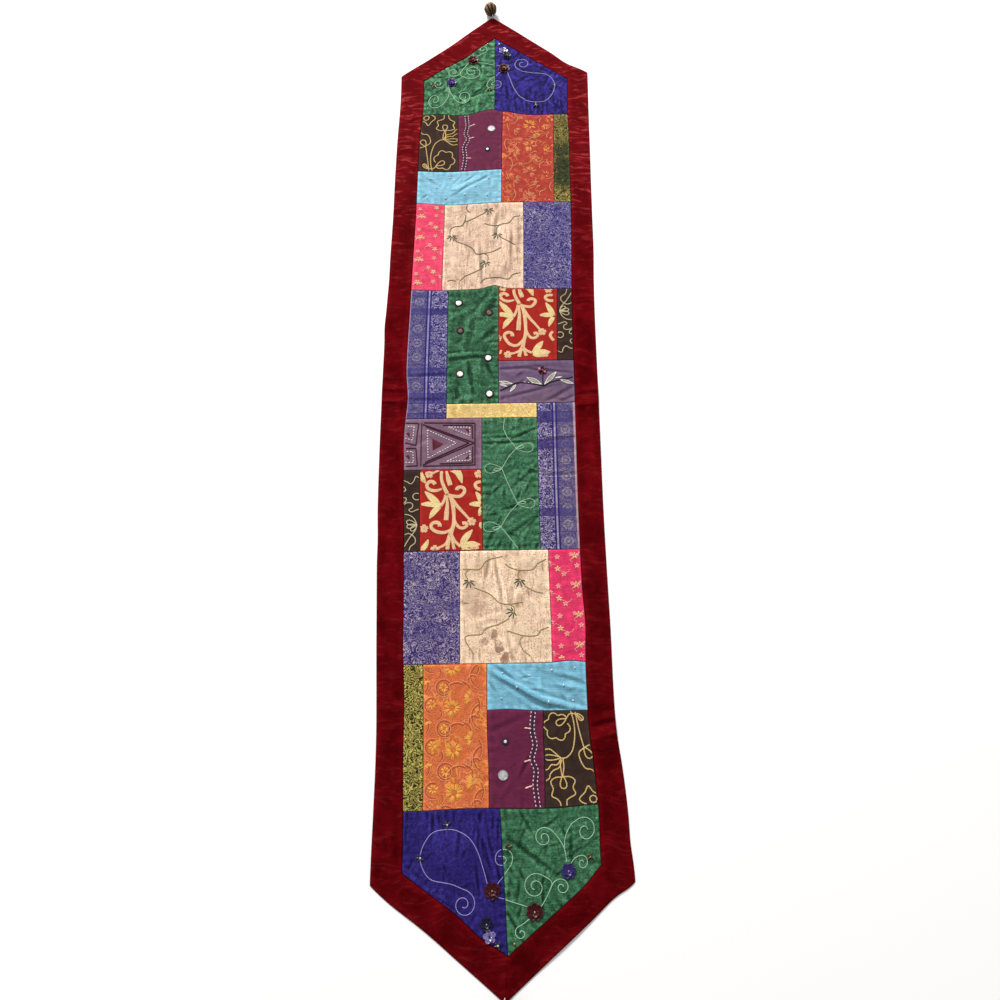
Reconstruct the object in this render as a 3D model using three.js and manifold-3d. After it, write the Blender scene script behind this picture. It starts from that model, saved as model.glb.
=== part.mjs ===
// Patchwork table runner: 31 silk, brocade and embroidered patches inside a mitred velvet
// border, pointed at both ends, with a carved bead on a short thread at each point.
// Millimetres. It lies flat, face up: +Z up, +Y towards the far point, z = 0 underneath.
//
// The cutting layout is straight: "across" is 0 on the middle line and grows to the east side,
// "along" is 0 half way and grows to the far point. lay() then puts each point where the sewn
// runner really lies, a little bowed and waisted, with a few soft swells.
import * as THREE from 'three';
import { mergeVertices } from 'three/addons/utils/BufferGeometryUtils.js';
import Module from 'manifold-3d';

// Driving sizes
const HALF_WIDTH = 190;        // middle line to the outer edge, as cut
const FAR_POINT = [-3, 913];   // the cloth's two points, across and along
const NEAR_POINT = [-1, -913];
const OUTER_SHOULDER = 757;    // where the outer edges turn in to the points
const INNER_SHOULDER = 742.5;  // the same corner on the inner edge of the border
const INNER_POINT = 854.5;     // the inner edge's point
const PATCH_THICK = 1.8;
const VELVET_THICK = 2.4;
const SEAM_GAP = 0.36;         // between neighbouring pieces, as cut
const CELL = 24;               // step of the lattice on which the cloth is faceted
const SLIVER = 1;              // no lattice line crosses an edge nearer its end than this

const BEAD_LENGTH = 28;
const BEAD_RADIUS = 13.4;
const BEAD_HOLE_RADIUS = 1.8;
const BEAD_REACH = 5.5;        // how far the bead overhangs the cloth point
const BEAD_TILT = 3;           // degrees, its hole leans down to the cloth
const BEAD_LEAN = 15;          // degrees, and it has rolled to the west of the far point
const THREAD_RADIUS = 0.8;
const THREAD_START = [0, -5, 0.4]; // from the cloth point, and up from the velvet's face
const THREAD_BOW = [0, -8, 5.6];   // where it bows out on its way up to the bead
const KNOT_RADIUS = 2.6;

// How the runner lies. shift: the middle line's drift to the east; half: true half width;
// arch: how far the middle of a cross seam runs ahead of its ends; skew: how far its east end
// runs ahead of the middle.
const LIE = [
  { along: -914, shift: 9.0, half: 189.5, arch: 0, skew: 0 },
  { along: -757, shift: 6.0, half: 190.0, arch: 0, skew: 0 },
  { along: -650, shift: 3.6, half: 186.6, arch: 0, skew: 2 },
  { along: -600, shift: 1.9, half: 184.4, arch: 0, skew: 1 },
  { along: -550, shift: -1.0, half: 182.0, arch: 0, skew: 0 },
  { along: -500, shift: -2.5, half: 182.2, arch: 0, skew: 0 },
  { along: -400, shift: -4.2, half: 184.3, arch: 0, skew: 0 },
  { along: -200, shift: -7.6, half: 187.0, arch: 0, skew: 0 },
  { along: 0, shift: -7.2, half: 188.6, arch: 0, skew: -1 },
  { along: 200, shift: -5.2, half: 188.5, arch: 0, skew: -2 },
  { along: 400, shift: 0.0, half: 188.4, arch: 0, skew: -4 },
  { along: 515, shift: 1.6, half: 188.9, arch: 2, skew: -5 },
  { along: 660, shift: 4.4, half: 188.8, arch: 11, skew: -4 },
  { along: 757, shift: 6.2, half: 189.4, arch: 0, skew: 0 },
  { along: 914, shift: 7.0, half: 189.4, arch: 0, skew: 0 },
];

// Soft swells of the cloth off the table: long and wide are half lengths, turn is in degrees
// from the across direction.
const SWELLS = [
  { across: 70, along: -488, turn: -32, long: 62, wide: 22, high: 5.0 },
  { across: 168, along: -548, turn: 12, long: 34, wide: 26, high: 3.4 },
  { across: -168, along: -300, turn: 90, long: 90, wide: 24, high: 2.6 },
  { across: 170, along: -90, turn: 90, long: 110, wide: 24, high: 2.6 },
  { across: 170, along: 22, turn: 8, long: 36, wide: 24, high: 2.8 },
  { across: -172, along: 30, turn: -6, long: 36, wide: 24, high: 2.8 },
  { across: -30, along: 140, turn: 70, long: 56, wide: 24, high: 3.6 },
  { across: -38, along: 50, turn: 96, long: 40, wide: 24, high: 3.0 },
  { across: 92, along: 44, turn: 14, long: 60, wide: 24, high: 3.2 },
  { across: 36, along: -150, turn: 60, long: 70, wide: 26, high: 2.8 },
  { across: -172, along: 470, turn: 90, long: 80, wide: 24, high: 2.6 },
  { across: 172, along: 560, turn: 90, long: 80, wide: 24, high: 2.4 },
  { across: -70, along: 476, turn: 12, long: 70, wide: 26, high: 3.2 },
  { across: 20, along: 340, turn: 80, long: 70, wide: 26, high: 2.6 },
  { across: -84, along: -715, turn: -52, long: 60, wide: 26, high: 3.4 },
  { across: 76, along: -720, turn: 48, long: 60, wide: 26, high: 3.0 },
  { across: 60, along: 728, turn: -46, long: 60, wide: 26, high: 3.0 },
  { across: 96, along: -846, turn: 40, long: 60, wide: 24, high: 2.4 },
];
const RESTING = 0.7;           // a swell lower than this lies flat on the table

// Small pulls of the cloth in its own plane, each strongest at one place: how wide and long it
// reaches, and how far it draws the cloth east and ahead.
const TUGS = [
  { across: 0, along: 650, wide: 400, long: 58, east: 0, ahead: -15.5 },
  { across: 0, along: 655, wide: 34, long: 60, east: 0, ahead: 10 },
  { across: 76, along: 655, wide: 40, long: 60, east: 0, ahead: -4.5 },
  { across: -90, along: 514, wide: 90, long: 50, east: 0, ahead: -8.5 },
  { across: -80, along: 437, wide: 60, long: 40, east: 0, ahead: -6 },
  { across: -90, along: 243, wide: 60, long: 40, east: 0, ahead: -3.5 },
  { across: 6, along: 243, wide: 16, long: 30, east: 0, ahead: 7 },
  { across: 130, along: 243, wide: 50, long: 40, east: 0, ahead: -1.6 },
  { across: -140, along: 705, wide: 22, long: 80, east: 7.2, ahead: 0 },
  { across: -190, along: 700, wide: 30, long: 60, east: 1.6, ahead: 0 },
  { across: -147, along: 500, wide: 30, long: 120, east: 1.4, ahead: 0 },
  { across: -85, along: 815, wide: 50, long: 60, east: 0, ahead: -4.5 },
  { across: -58, along: 812, wide: 20, long: 18, east: 0, ahead: -3 },
  { across: 146, along: 790, wide: 34, long: 30, east: 0, ahead: -7.5 },
  { across: 100, along: 830, wide: 50, long: 60, east: 0, ahead: -3 },
  { across: 150, along: 690, wide: 24, long: 80, east: -3, ahead: 0 },
  { across: -170, along: -775, wide: 60, long: 50, east: 0, ahead: -6 },
  { across: -34, along: -828, wide: 30, long: 26, east: -1.5, ahead: -4 },
  { across: 146, along: -735, wide: 22, long: 45, east: -3.5, ahead: 4.5 },
  { across: 190, along: -708, wide: 20, long: 24, east: -1.6, ahead: 0 },
  { across: 190, along: -770, wide: 20, long: 20, east: 0, ahead: -5 },
  { across: -40, along: -661, wide: 60, long: 30, east: 0, ahead: 2.5 },
  { across: 140, along: -661, wide: 36, long: 30, east: 0, ahead: 4 },
  { across: 15, along: -518, wide: 40, long: 30, east: 0, ahead: 3 },
  { across: 122, along: -445, wide: 22, long: 26, east: 0, ahead: 3 },
  { across: 149, along: -385, wide: 26, long: 40, east: 2.5, ahead: 0 },
  { across: -146, along: 22, wide: 24, long: 30, east: 3, ahead: 0 },
  { across: -146, along: -62, wide: 24, long: 40, east: -3, ahead: 0 },
  { across: -190, along: 262, wide: 24, long: 36, east: 1, ahead: 0 },
  { across: -190, along: -235, wide: 24, long: 30, east: 1, ahead: 0 },
  { across: -190, along: 165, wide: 24, long: 26, east: -1.5, ahead: 0 },
  { across: 190, along: 330, wide: 24, long: 50, east: 1, ahead: 0 },
  { across: -62, along: 655, wide: 36, long: 50, east: 0, ahead: -5.8 },
  { across: 14, along: 655, wide: 13, long: 50, east: 0, ahead: -3.2 },
  { across: -147, along: 90, wide: 24, long: 80, east: -2.2, ahead: 0 },
  { across: -147, along: -150, wide: 24, long: 40, east: -2.2, ahead: 0 },
  { across: -147, along: -415, wide: 24, long: 60, east: -1.8, ahead: 0 },
  { across: -147, along: -590, wide: 24, long: 70, east: -2.6, ahead: 0 },
];

// Cross seams of the patchwork, by the distance along.
const CROSS = {
  farEnd: 660, farTurquoise: 516, farPink: 437, farMirrors: 243, twigTop: 92, stripTop: 8,
  stripFoot: -20, chartFoot: -116, nearCream: -260, nearOrange: -445, nearPlum: -518.5,
  nearEnd: -660.5,
};

// Upright seams: straight from one place to another.
const UPRIGHT = {
  westEdge: { from: [-144.2, -INNER_SHOULDER], to: [-147.8, INNER_SHOULDER] },
  eastEdge: { from: [146.5, -INNER_SHOULDER], to: [151, INNER_SHOULDER] },
  farMiddle: { from: [2, 660], to: [2, INNER_POINT] },
  farBrownPlum: { from: [-67, 516], to: [-71, 660] },
  farPlumOrange: { from: [17, 437], to: [18, 660] },
  farOrangeOlive: { from: [118.6, 437], to: [120, 660] },
  farPinkCream: { from: [-90, 243], to: [-92, 437] },
  farCreamLavender: { from: [61, 243], to: [59, 437] },
  farStripeMirrors: { from: [-75.7, -20], to: [-77.5, 243] },
  farMirrorsCrewel: { from: [15.3, 8], to: [15.3, 243] },
  farCrewelSquiggle: { from: [120, 92], to: [122.5, 243] },
  nearVineStripe: { from: [82.7, -260], to: [81.8, 8] },
  nearCrewelVine: { from: [-13.6, -260], to: [-13.6, -20] },
  nearSquiggleCrewel: { from: [-119, -260], to: [-119, -116] },
  nearLavenderCream: { from: [-55, -445], to: [-52, -260] },
  nearCreamPink: { from: [94.3, -445], to: [95, -260] },
  nearOliveOrange: { from: [-116, -660.5], to: [-114.3, -445] },
  nearOrangePlum: { from: [-16.5, -660.5], to: [-11.5, -445] },
  nearPlumBrown: { from: [67, -660.5], to: [76.5, -518.5] },
  nearMiddle: { from: [5, -INNER_POINT], to: [-0.3, -660.5] },
};

const CLOTHS = {
  velvet: { color: 0x6e0f1a, roughness: 0.95 },
  greenSilk: { color: 0x1d6b42, roughness: 0.55 },
  violetSilk: { color: 0x37269a, roughness: 0.5 },
  brownCloth: { color: 0x3f2d22, roughness: 0.85 },
  plumSilk: { color: 0x5c2245, roughness: 0.6 },
  turquoiseSilk: { color: 0x3fa9c9, roughness: 0.5 },
  orangeBrocade: { color: 0xc9632b, roughness: 0.65 },
  oliveBrocade: { color: 0x6b6a20, roughness: 0.7 },
  pinkSilk: { color: 0xd5295f, roughness: 0.6 },
  creamSilk: { color: 0xcdb392, roughness: 0.6 },
  lavenderBrocade: { color: 0x585699, roughness: 0.65 },
  stripeBrocade: { color: 0x4b49a0, roughness: 0.65 },
  redCrewel: { color: 0xa33322, roughness: 0.85 },
  mauveCloth: { color: 0x5a4468, roughness: 0.75 },
  yellowBrocade: { color: 0xc9ab4e, roughness: 0.6 },
  carvedBead: { color: 0x8a6a34, roughness: 0.4, metalness: 0.5 },
  thread: { color: 0xd9bfb4, roughness: 0.8 },
};

// Each patch lies between two upright seams and two cross seams.
const PATCHES = [
  { name: 'far_brown_flowers', cloth: 'brownCloth', west: 'westEdge', east: 'farBrownPlum', near: 'farTurquoise', far: 'farEnd' },
  { name: 'far_plum', cloth: 'plumSilk', west: 'farBrownPlum', east: 'farPlumOrange', near: 'farTurquoise', far: 'farEnd' },
  { name: 'far_turquoise', cloth: 'turquoiseSilk', west: 'westEdge', east: 'farPlumOrange', near: 'farPink', far: 'farTurquoise' },
  { name: 'far_orange', cloth: 'orangeBrocade', west: 'farPlumOrange', east: 'farOrangeOlive', near: 'farPink', far: 'farEnd' },
  { name: 'far_olive', cloth: 'oliveBrocade', west: 'farOrangeOlive', east: 'eastEdge', near: 'farPink', far: 'farEnd' },
  { name: 'far_pink', cloth: 'pinkSilk', west: 'westEdge', east: 'farPinkCream', near: 'farMirrors', far: 'farPink' },
  { name: 'far_cream', cloth: 'creamSilk', west: 'farPinkCream', east: 'farCreamLavender', near: 'farMirrors', far: 'farPink' },
  { name: 'far_lavender', cloth: 'lavenderBrocade', west: 'farCreamLavender', east: 'eastEdge', near: 'farMirrors', far: 'farPink' },
  { name: 'far_stripe', cloth: 'stripeBrocade', west: 'westEdge', east: 'farStripeMirrors', near: 'stripFoot', far: 'farMirrors' },
  { name: 'far_green_mirrors', cloth: 'greenSilk', west: 'farStripeMirrors', east: 'farMirrorsCrewel', near: 'stripTop', far: 'farMirrors' },
  { name: 'far_crewel', cloth: 'redCrewel', west: 'farMirrorsCrewel', east: 'farCrewelSquiggle', near: 'twigTop', far: 'farMirrors' },
  { name: 'far_squiggle', cloth: 'brownCloth', west: 'farCrewelSquiggle', east: 'eastEdge', near: 'twigTop', far: 'farMirrors' },
  { name: 'mauve_twig', cloth: 'mauveCloth', west: 'farMirrorsCrewel', east: 'eastEdge', near: 'stripTop', far: 'twigTop' },
  { name: 'yellow_strip', cloth: 'yellowBrocade', west: 'farStripeMirrors', east: 'nearVineStripe', near: 'stripFoot', far: 'stripTop' },
  { name: 'mauve_triangles', cloth: 'mauveCloth', west: 'westEdge', east: 'nearCrewelVine', near: 'chartFoot', far: 'stripFoot' },
  { name: 'near_squiggle', cloth: 'brownCloth', west: 'westEdge', east: 'nearSquiggleCrewel', near: 'nearCream', far: 'chartFoot' },
  { name: 'near_crewel', cloth: 'redCrewel', west: 'nearSquiggleCrewel', east: 'nearCrewelVine', near: 'nearCream', far: 'chartFoot' },
  { name: 'near_green_vine', cloth: 'greenSilk', west: 'nearCrewelVine', east: 'nearVineStripe', near: 'nearCream', far: 'stripFoot' },
  { name: 'near_stripe', cloth: 'stripeBrocade', west: 'nearVineStripe', east: 'eastEdge', near: 'nearCream', far: 'stripTop' },
  { name: 'near_lavender', cloth: 'lavenderBrocade', west: 'westEdge', east: 'nearLavenderCream', near: 'nearOrange', far: 'nearCream' },
  { name: 'near_cream', cloth: 'creamSilk', west: 'nearLavenderCream', east: 'nearCreamPink', near: 'nearOrange', far: 'nearCream' },
  { name: 'near_pink', cloth: 'pinkSilk', west: 'nearCreamPink', east: 'eastEdge', near: 'nearOrange', far: 'nearCream' },
  { name: 'near_olive', cloth: 'oliveBrocade', west: 'westEdge', east: 'nearOliveOrange', near: 'nearEnd', far: 'nearOrange' },
  { name: 'near_orange', cloth: 'orangeBrocade', west: 'nearOliveOrange', east: 'nearOrangePlum', near: 'nearEnd', far: 'nearOrange' },
  { name: 'near_turquoise', cloth: 'turquoiseSilk', west: 'nearOrangePlum', east: 'eastEdge', near: 'nearPlum', far: 'nearOrange' },
  { name: 'near_plum', cloth: 'plumSilk', west: 'nearOrangePlum', east: 'nearPlumBrown', near: 'nearEnd', far: 'nearPlum' },
  { name: 'near_brown_flowers', cloth: 'brownCloth', west: 'nearPlumBrown', east: 'eastEdge', near: 'nearEnd', far: 'nearPlum' },
];

// Where an upright seam is at a distance along.
function seamAt(seam, along) {
  const { from, to } = UPRIGHT[seam];
  const share = (along - from[1]) / (to[1] - from[1]);
  return [from[0] + (to[0] - from[0]) * share, along];
}

function patchCorners({ west, east, near, far }) {
  return [
    seamAt(west, CROSS[near]), seamAt(east, CROSS[near]),
    seamAt(east, CROSS[far]), seamAt(west, CROSS[far]),
  ];
}

// The patches at the two points, and the six border strips, each as four corners
// anticlockwise from above.
function pointedPieces() {
  const innerAt = (side, end) => seamAt(side, end * INNER_SHOULDER);
  const outerAt = (side, end) => [side * HALF_WIDTH, end * OUTER_SHOULDER];
  const innerFar = UPRIGHT.farMiddle.to;
  const innerNear = UPRIGHT.nearMiddle.from;
  const seamFar = UPRIGHT.farMiddle.from;
  const seamNear = UPRIGHT.nearMiddle.to;
  return [
    { name: 'far_green_point', cloth: 'greenSilk', corners: [seamAt('westEdge', CROSS.farEnd), seamFar, innerFar, innerAt('westEdge', 1)] },
    { name: 'far_violet_point', cloth: 'violetSilk', corners: [seamFar, seamAt('eastEdge', CROSS.farEnd), innerAt('eastEdge', 1), innerFar] },
    { name: 'near_violet_point', cloth: 'violetSilk', corners: [innerAt('westEdge', -1), innerNear, seamNear, seamAt('westEdge', CROSS.nearEnd)] },
    { name: 'near_green_point', cloth: 'greenSilk', corners: [innerNear, innerAt('eastEdge', -1), seamAt('eastEdge', CROSS.nearEnd), seamNear] },
    { name: 'border_west', cloth: 'velvet', corners: [outerAt(-1, -1), innerAt('westEdge', -1), innerAt('westEdge', 1), outerAt(-1, 1)] },
    { name: 'border_east', cloth: 'velvet', corners: [innerAt('eastEdge', -1), outerAt(1, -1), outerAt(1, 1), innerAt('eastEdge', 1)] },
    { name: 'border_far_west', cloth: 'velvet', corners: [outerAt(-1, 1), innerAt('westEdge', 1), innerFar, FAR_POINT] },
    { name: 'border_far_east', cloth: 'velvet', corners: [innerAt('eastEdge', 1), outerAt(1, 1), FAR_POINT, innerFar] },
    { name: 'border_near_west', cloth: 'velvet', corners: [outerAt(-1, -1), NEAR_POINT, innerNear, innerAt('westEdge', -1)] },
    { name: 'border_near_east', cloth: 'velvet', corners: [NEAR_POINT, outerAt(1, -1), innerAt('eastEdge', -1), innerNear] },
  ];
}

// One column of LIE at a distance along, as a smooth curve through the rows.
function lieColumn(column, along) {
  const last = LIE.length - 1;
  const place = THREE.MathUtils.clamp(along, LIE[0].along, LIE[last].along);
  let i = 0;
  while (i < last - 1 && place > LIE[i + 1].along) i += 1;
  const slope = (k) => {
    const a = LIE[Math.max(k - 1, 0)];
    const b = LIE[Math.min(k + 1, last)];
    return (b[column] - a[column]) / (b.along - a.along);
  };
  const span = LIE[i + 1].along - LIE[i].along;
  const t = (place - LIE[i].along) / span;
  return (2 * t ** 3 - 3 * t ** 2 + 1) * LIE[i][column] + (t ** 3 - 2 * t ** 2 + t) * span * slope(i)
    + (3 * t ** 2 - 2 * t ** 3) * LIE[i + 1][column] + (t ** 3 - t ** 2) * span * slope(i + 1);
}

// Height of the cloth's underside off the table.
function swellAt(across, along) {
  let height = -RESTING;
  for (const swell of SWELLS) {
    const turn = THREE.MathUtils.degToRad(swell.turn);
    const dx = across - swell.across;
    const dy = along - swell.along;
    const s = (dx * Math.cos(turn) + dy * Math.sin(turn)) / swell.long;
    const t = (dy * Math.cos(turn) - dx * Math.sin(turn)) / swell.wide;
    height += swell.high * Math.exp(-s * s - t * t);
  }
  return Math.max(height, 0);
}

// Where a knot of the lattice lies, counted in cells across and along.
function knotAt(i, j) {
  const [across, along] = [i * CELL, j * CELL];
  const side = across / HALF_WIDTH;
  const place = new THREE.Vector3(
    lieColumn('shift', along) + side * lieColumn('half', along),
    along + lieColumn('arch', along) * (1 - side * side) + lieColumn('skew', along) * side,
    swellAt(across, along),
  );
  for (const tug of TUGS) {
    const pull = Math.exp(-(((across - tug.across) / tug.wide) ** 2)
      - ((along - tug.along) / tug.long) ** 2);
    place.x += tug.east * pull;
    place.y += tug.ahead * pull;
  }
  return place;
}

// From the cutting layout to where that point of the underside lies. Every piece is faceted on
// the same lattice, so neighbours keep their gap where a seam bends.
function lay([across, along]) {
  const i = Math.floor(across / CELL);
  const j = Math.floor(along / CELL);
  const s = across / CELL - i;
  const t = along / CELL - j;
  return new THREE.Vector3()
    .addScaledVector(knotAt(i, j), (1 - s) * (1 - t))
    .addScaledVector(knotAt(i + 1, j), s * (1 - t))
    .addScaledVector(knotAt(i, j + 1), (1 - s) * t)
    .addScaledVector(knotAt(i + 1, j + 1), s * t);
}

// Moves each edge of a four-cornered piece in by half the seam gap.
function trimmed(corners) {
  const edges = corners.map(([ax, ay], i) => {
    const [bx, by] = corners[(i + 1) % 4];
    const length = Math.hypot(bx - ax, by - ay);
    const normal = [-(by - ay) / length, (bx - ax) / length];
    return { normal, reach: normal[0] * ax + normal[1] * ay + SEAM_GAP / 2 };
  });
  return edges.map((edge, i) => {
    const before = edges[(i + 3) % 4];
    const det = before.normal[0] * edge.normal[1] - before.normal[1] * edge.normal[0];
    return [
      (before.reach * edge.normal[1] - edge.reach * before.normal[1]) / det,
      (before.normal[0] * edge.reach - edge.normal[0] * before.reach) / det,
    ];
  });
}

const distance = (p, q) => Math.hypot(p[0] - q[0], p[1] - q[1]);

// Shares along two opposite edges, from 0 to 1, where both cross the lattice lines. Two edges
// that run different ways, as at the ends of a point's border, are divided evenly.
function divisions(...edges) {
  const axes = edges.map(([p, q]) => (Math.abs(q[0] - p[0]) > Math.abs(q[1] - p[1]) ? 0 : 1));
  const axis = axes[0];
  if (axes[1] !== axis) {
    const count = Math.ceil(Math.max(...edges.map(([p, q]) => distance(p, q))) / CELL);
    const even = Array.from({ length: count + 1 }, (_, k) => k / count);
    return [even, even];
  }
  const low = Math.max(...edges.map(([p, q]) => Math.min(p[axis], q[axis]))) + SLIVER;
  const high = Math.min(...edges.map(([p, q]) => Math.max(p[axis], q[axis]))) - SLIVER;
  const lines = [];
  for (let k = Math.ceil(low / CELL); k * CELL <= high; k += 1) lines.push(k * CELL);
  return edges.map(([p, q]) => {
    const shares = lines.map((line) => (line - p[axis]) / (q[axis] - p[axis]));
    return [0, ...shares.sort((x, y) => x - y), 1];
  });
}

// A closed sheet over four corners, laid as the cloth lies.
function clothGeometry(corners, thick) {
  const [a, b, c, d] = trimmed(corners);
  const [near, far] = divisions([a, b], [d, c]);
  const [west, east] = divisions([a, d], [b, c]);
  const columns = near.length - 1;
  const rows = west.length - 1;
  const positions = [];
  for (const lift of [0, thick]) {
    for (let j = 0; j <= rows; j += 1) {
      for (let i = 0; i <= columns; i += 1) {
        // where the line from near to far crosses the line from west to east
        const lean = far[i] - near[i];
        const rise = east[j] - west[j];
        const s = (near[i] + lean * west[j]) / (1 - lean * rise);
        const t = west[j] + rise * s;
        const mix = (k) => (a[k] * (1 - s) + b[k] * s) * (1 - t) + (d[k] * (1 - s) + c[k] * s) * t;
        const point = lay([mix(0), mix(1)]);
        positions.push(point.x, point.y, point.z + lift);
      }
    }
  }
  const layer = (columns + 1) * (rows + 1);
  const under = (i, j) => j * (columns + 1) + i;
  const indices = [];
  const quad = (p, q, r, s) => indices.push(p, q, r, p, r, s);
  for (let j = 0; j < rows; j += 1) {
    for (let i = 0; i < columns; i += 1) {
      const [p, q, r, s] = [under(i, j), under(i + 1, j), under(i + 1, j + 1), under(i, j + 1)];
      quad(s, r, q, p);
      quad(p + layer, q + layer, r + layer, s + layer);
    }
  }
  const wall = (p, q) => quad(p, q, q + layer, p + layer);
  for (let i = 0; i < columns; i += 1) {
    wall(under(i, 0), under(i + 1, 0));
    wall(under(i + 1, rows), under(i, rows));
  }
  for (let j = 0; j < rows; j += 1) {
    wall(under(columns, j), under(columns, j + 1));
    wall(under(0, j + 1), under(0, j));
  }
  const geometry = new THREE.BufferGeometry();
  geometry.setAttribute('position', new THREE.Float32BufferAttribute(positions, 3));
  geometry.setIndex(indices);
  geometry.computeVertexNormals();
  return geometry;
}

function clothMesh({ name, cloth, corners }) {
  const thick = cloth === 'velvet' ? VELVET_THICK : PATCH_THICK;
  return namedMesh(name, clothGeometry(corners, thick), cloth);
}

function namedMesh(name, geometry, cloth) {
  const mesh = new THREE.Mesh(geometry, new THREE.MeshStandardMaterial(CLOTHS[cloth]));
  mesh.name = name;
  return mesh;
}

// An egg turned about its hole, which runs along Y from the narrow cloth end at y = 0.
function beadGeometry() {
  const mouth = Math.asin((BEAD_HOLE_RADIUS + 0.9) / BEAD_RADIUS);
  const profile = [new THREE.Vector2(BEAD_HOLE_RADIUS, 0.4)];
  const steps = 9;
  for (let i = 0; i <= steps; i += 1) {
    const angle = mouth + (Math.PI - 2 * mouth) * (i / steps);
    const swell = 1 + 0.12 * Math.cos(angle);
    profile.push(new THREE.Vector2(
      BEAD_RADIUS * Math.sin(angle) / swell,
      BEAD_LENGTH / 2 * (1 - Math.cos(angle)),
    ));
  }
  profile.push(new THREE.Vector2(BEAD_HOLE_RADIUS, BEAD_LENGTH - 0.4));
  profile.push(profile[0].clone());
  return new THREE.LatheGeometry(profile, 20);
}

const wasm = await Module();
wasm.setup();

function solidOf(geometry) {
  const bare = geometry.clone();
  bare.deleteAttribute('normal');
  bare.deleteAttribute('uv');
  const merged = mergeVertices(bare);
  return new wasm.Manifold(new wasm.Mesh({
    numProp: 3,
    vertProperties: Float32Array.from(merged.attributes.position.array),
    triVerts: Uint32Array.from(merged.index.array),
  }));
}

function geometryOf(solid) {
  const mesh = solid.getMesh();
  const geometry = new THREE.BufferGeometry();
  geometry.setAttribute('position', new THREE.Float32BufferAttribute(mesh.vertProperties, 3));
  geometry.setIndex(Array.from(mesh.triVerts));
  geometry.computeVertexNormals();
  return geometry;
}

// The thread rises from the cloth point, turns into the bead's hole and ends in a knot past it.
function threadGeometry(start, bow, entry, exit) {
  const inward = exit.clone().sub(entry).normalize();
  const beyond = exit.clone().addScaledVector(inward, KNOT_RADIUS);
  const route = new THREE.CatmullRomCurve3([
    start,
    bow,
    entry.clone().addScaledVector(inward, -1.2),
    entry.clone().addScaledVector(inward, 1.2),
    entry.clone().lerp(exit, 0.5),
    beyond,
  ]);
  const section = new THREE.Shape().absarc(0, 0, THREAD_RADIUS, 0, 2 * Math.PI);
  const strand = new THREE.ExtrudeGeometry(section, { steps: 20, curveSegments: 4, extrudePath: route });
  const knot = new THREE.SphereGeometry(KNOT_RADIUS, 10, 7);
  knot.translate(beyond.x, beyond.y, beyond.z);
  return geometryOf(solidOf(strand).add(solidOf(knot)));
}

// The bead and its thread, built for the far point; the near pair is the same, turned half round.
function tassel(place, point) {
  const lie = new THREE.Euler(
    THREE.MathUtils.degToRad(BEAD_TILT), 0, THREE.MathUtils.degToRad(BEAD_LEAN), 'ZYX',
  );
  const turn = new THREE.Matrix4().makeRotationFromEuler(lie);
  const tip = lay(point);
  const bead = beadGeometry();
  bead.applyMatrix4(turn);
  bead.computeBoundingBox();
  const { min } = bead.boundingBox;
  const shift = new THREE.Vector3(0, -BEAD_REACH - min.y, -min.z);
  bead.translate(shift.x, shift.y, shift.z);
  const hole = (share) => new THREE.Vector3(0, share * BEAD_LENGTH, 0)
    .applyMatrix4(turn).add(shift);
  const face = new THREE.Vector3(0, 0, tip.z + VELVET_THICK);
  const thread = threadGeometry(
    new THREE.Vector3(...THREAD_START).add(face), new THREE.Vector3(...THREAD_BOW).add(face), hole(0), hole(1),
  );
  const group = new THREE.Group();
  group.add(namedMesh(`${place}_bead`, bead, 'carvedBead'));
  group.add(namedMesh(`${place}_bead_thread`, thread, 'thread'));
  group.position.set(tip.x, tip.y, 0);
  group.rotation.z = point[1] > 0 ? 0 : Math.PI;
  return group;
}

const group = new THREE.Group();
for (const patch of PATCHES) group.add(clothMesh({ ...patch, corners: patchCorners(patch) }));
for (const piece of pointedPieces()) group.add(clothMesh(piece));
group.add(tassel('far', FAR_POINT));
group.add(tassel('near', NEAR_POINT));

export default group;
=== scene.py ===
import math

import bpy
import numpy as np
from mathutils import Matrix, Vector


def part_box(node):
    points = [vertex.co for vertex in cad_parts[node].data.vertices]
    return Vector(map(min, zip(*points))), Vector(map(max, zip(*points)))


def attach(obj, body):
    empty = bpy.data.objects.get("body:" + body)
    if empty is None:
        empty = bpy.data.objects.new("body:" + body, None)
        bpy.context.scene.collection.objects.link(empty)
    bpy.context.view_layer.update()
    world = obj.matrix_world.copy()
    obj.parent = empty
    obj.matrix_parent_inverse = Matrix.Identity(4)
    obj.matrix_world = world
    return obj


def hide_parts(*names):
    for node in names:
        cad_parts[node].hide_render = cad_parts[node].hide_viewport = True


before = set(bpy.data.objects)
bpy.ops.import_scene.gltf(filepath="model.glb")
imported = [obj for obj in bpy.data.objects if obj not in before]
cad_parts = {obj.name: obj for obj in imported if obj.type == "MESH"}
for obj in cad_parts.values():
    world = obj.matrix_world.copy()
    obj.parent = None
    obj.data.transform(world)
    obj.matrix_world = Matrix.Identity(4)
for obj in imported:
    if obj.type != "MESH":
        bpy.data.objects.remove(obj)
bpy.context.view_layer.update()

MM = 0.001

# ---------------------------------------------------------------- sizes of the runner

HALF_WIDTH = 190.0
OUTER_SHOULDER = 757.0
INNER_SHOULDER = 742.5
INNER_POINT = 854.5
FAR_POINT = (-3.0, 913.0)
NEAR_POINT = (-1.0, -913.0)
PATCH_THICK = 1.8
VELVET_THICK = 2.4
RESTING = 0.7

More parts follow.
